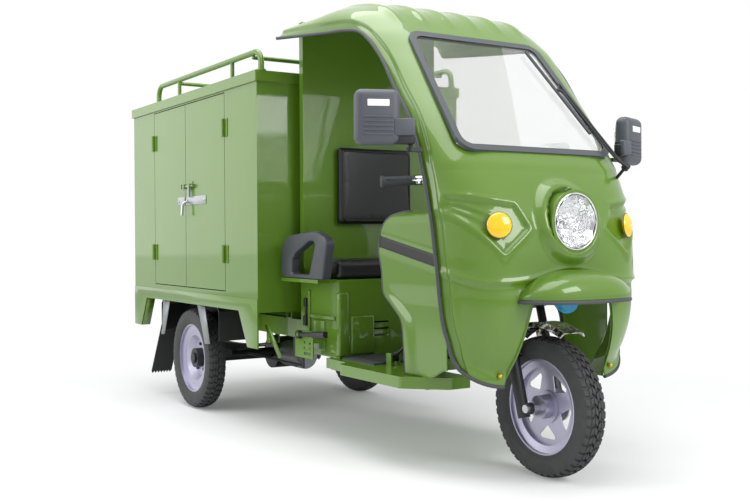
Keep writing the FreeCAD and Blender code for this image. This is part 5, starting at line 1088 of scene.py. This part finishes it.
# Seat box pressings
# Shallow forms pressed into the sheet of the seat box: a rounded post at each front corner, a swelling
# beside the louvres and a ledge with a panel on each side, in the body's green enamel.
box_half = 0.337
# Each form: start and end as x from the rear axle, y outwards from the middle and z, then the rounding
pressings = ((1.145, 1.163, 0.180, 0.288, 0.352, 0.505, 0.008),
             (1.130, 1.161, 0.296, box_half + 0.007, 0.345, 0.600, 0.010),
             (0.930, 1.128, box_half - 0.010, box_half + 0.012, 0.488, 0.504, 0.004),
             (0.950, 1.040, box_half - 0.010, box_half + 0.006, 0.362, 0.482, 0.004),
             (0.905, 0.922, box_half - 0.010, box_half + 0.008, 0.360, 0.600, 0.004))
# The catch at each side: hook, bail and keeper
catch_parts = ((0.876, 0.896, box_half - 0.004, box_half + 0.012, 0.530, 0.566, 0.003),
               (0.880, 0.892, box_half - 0.002, box_half + 0.008, 0.486, 0.532, 0.003),
               (0.874, 0.898, box_half - 0.004, box_half + 0.014, 0.452, 0.492, 0.003))


def pressed(forms, side):
    """Rounded blocks on one side of the seat box."""
    made = []
    for x0, x1, y0, y1, z0, z1, bevel in forms:
        ys = sorted((side * y0, side * y1))
        made.append(block((axle_x + x0, ys[0], z0), (axle_x + x1, ys[1], z1), bevel))
    return joined(made)


for side in (-1, 1):
    piece("seat_box_pressings_%d" % side, pressed(pressings, side), enamel)
    piece("seat_box_catch_%d" % side, pressed(catch_parts, side), black)


# Frame gussets
# Slanted strips of folded steel from the front legs of the load box down to the brake bracket, in green enamel.
gusset_y = 0.470
gusset_wall = 0.004
gusset_outline = ((0.770, 0.452), (0.806, 0.452), (0.925, 0.334), (0.894, 0.326))
for side in (-1, 1):
    corners = [(axle_x + x, side * gusset_y, z) for x, z in gusset_outline]
    sheet("frame_gusset_%d" % side, [corners], gusset_wall, enamel)


# Brake gear
# Rods and levers in satin black; the hand brake's bracket, ahead of them, is sprayed green with the body.
bracket_rear = axle_x + 0.86
gear_paint = surface("brake_gear_paint", satin_black, 0.4)
tree = gear_paint.node_tree
length = add(tree, "SeparateXYZ", {0: add(tree, "TexCoord").outputs["Object"]}).outputs["X"]
ahead = add(tree, "Math", {0: length, 1: bracket_rear}, operation="GREATER_THAN").outputs[0]
split = add(tree, "Mix", {0: ahead, 6: linear(satin_black), 7: linear(enamel_green)}, data_type="RGBA")
tree.links.new(split.outputs[2], tree.nodes["Principled BSDF"].inputs["Base Color"])
dress(gear_paint, "brake_linkage")


# Lobe returns
# Green glass-fibre walls turned back from the edges of the wheel arch, deepest at the foot,
# that stiffen the two lobes of the nose; each is bolted at its foot with a yellow-passivated screw.
return_depth = 0.105
return_step = 0.010
return_flare = 0.015
return_wall = 0.003
screw_x, screw_y, screw_z = axle_x + 2.022, 0.2465, 0.366
screw_radius = 0.008
passivated = surface("yellow_zinc", "#c9a93c", 0.35, 0.8)


def return_point(side, back, up):
    """Point of the wall: back 0 at the arch edge to 1 at its rear, up 0 at the foot to 1 at the top."""
    edge = shell_point(side * arch_share, brow * min(up, 0.999))
    depth = return_depth * (1 - up) ** 0.8
    return edge + Vector((-return_step - back * depth, side * return_flare * back, 0))


for side in (-1, 1):
    shape = surface_grid(10, 40, lambda back, up: return_point(side, back, up))
    thicken(piece("lobe_return_%d" % side, shape, enamel), return_wall)
    screw = ball(screw_radius, (screw_x, side * screw_y, screw_z), 10)
    piece("lobe_screw_%d" % side, screw, passivated)


# Hasp
# Flat zinc-plated straps riveted to the two side doors under the barrel bolt, one on each side of the joint,
# and a bent rod that hangs from the front one as its handle.
hasp_bottom, hasp_top = 0.972, 1.012
hasp_thick = 0.004
hasp_sink, hasp_bevel = 0.0005, 0.0015
rivet_inset = 0.014
rivet_radius = 0.006
handle_radius = 0.0065
handle_x = axle_x + 0.030
# Bends of the handle as (distance out from the door, z)
handle_bends = ((0.002, 0.988), (0.022, 0.982), (0.028, 0.968), (0.030, 0.922))
# Body of the door and the plate's ends as x from the rear axle
for body, start, end in (("side_door_r", -0.088, -0.004), ("side_door_f", 0.016, 0.252)):
    face = -box_side - hasp_thick
    plate = [block((axle_x + start, face, hasp_bottom), (axle_x + end, -box_side + hasp_sink, hasp_top), hasp_bevel)]
    plate += [ball(rivet_radius, (axle_x + x, face, (hasp_bottom + hasp_top) / 2), 8)
              for x in (start + rivet_inset, end - rivet_inset)]
    piece("hasp_plate_" + body, joined(plate), zinc, body=body)
handle = [(handle_x, -box_side - out, z) for out, z in handle_bends]
tube("hasp_handle", [handle], handle_radius, zinc, body="side_door_f")


# Wiper
# Two black steel rods on a spindle through the nose, with a rubber blade hung beside their end,
# so the blade lies on the glass inside the gasket.
spindle_place = Vector((axle_x + 1.994, 0.334, 1.0434))
glass_out = Vector((0.765871, 0, 0.642995))
glass_up = Vector((-0.642995, 0, 0.765871))
blade_lean = math.radians(8)
arm_length = 0.400
blade_half = 0.220
blade_offset = 0.028
rod_offset = 0.013
yoke_half = 0.03
arm_lift = 0.0215
blade_lift = 0.0125
arm_way = glass_up * math.cos(blade_lean) - Vector((0, math.sin(blade_lean), 0))
inboard = -glass_up * math.sin(blade_lean) - Vector((0, math.cos(blade_lean), 0))


def wiper_point(length, inward, lift):
    """Point on the wiper: length up the arm, inward from it, lift off the glass."""
    return spindle_place + arm_way * length + inboard * inward + glass_out * lift


# Runs as (length, inward, lift): the arm, the rod beside it and the yoke that holds the blade
arms = (((0, 0, arm_lift), (arm_length, 0, arm_lift)),
        ((0.02, 0, arm_lift), (0.06, rod_offset, arm_lift), (arm_length, rod_offset, arm_lift)),
        ((arm_length - yoke_half, 0, arm_lift), (arm_length, blade_offset, arm_lift),
         (arm_length + yoke_half, 0, arm_lift), (arm_length, 0, arm_lift)))
blade = (((arm_length - blade_half, blade_offset, blade_lift), (arm_length + blade_half, blade_offset, blade_lift)),)
# Name, runs, radius, finish, slot and replaced nodes
for name, runs, radius, finish, slot_name, replaced in (
        ("wiper_arms", arms, 0.0042, black, "black_paint", ("wiper",)),
        ("wiper_blade", blade, 0.006, rubber, "rubber", ()),
        ("wiper_hub", (((0, 0, 0.016), (0, 0, 0.035)),), 0.014, black, "black_paint", ()),
        ("wiper_spindle", (((0, 0, -0.060), (0, 0, 0.020)),), 0.006, black, "black_paint", ())):
    lines = [[wiper_point(*spot) for spot in run] for run in runs]
    tube(name, lines, radius, finish, replaced, "wiper_arm")
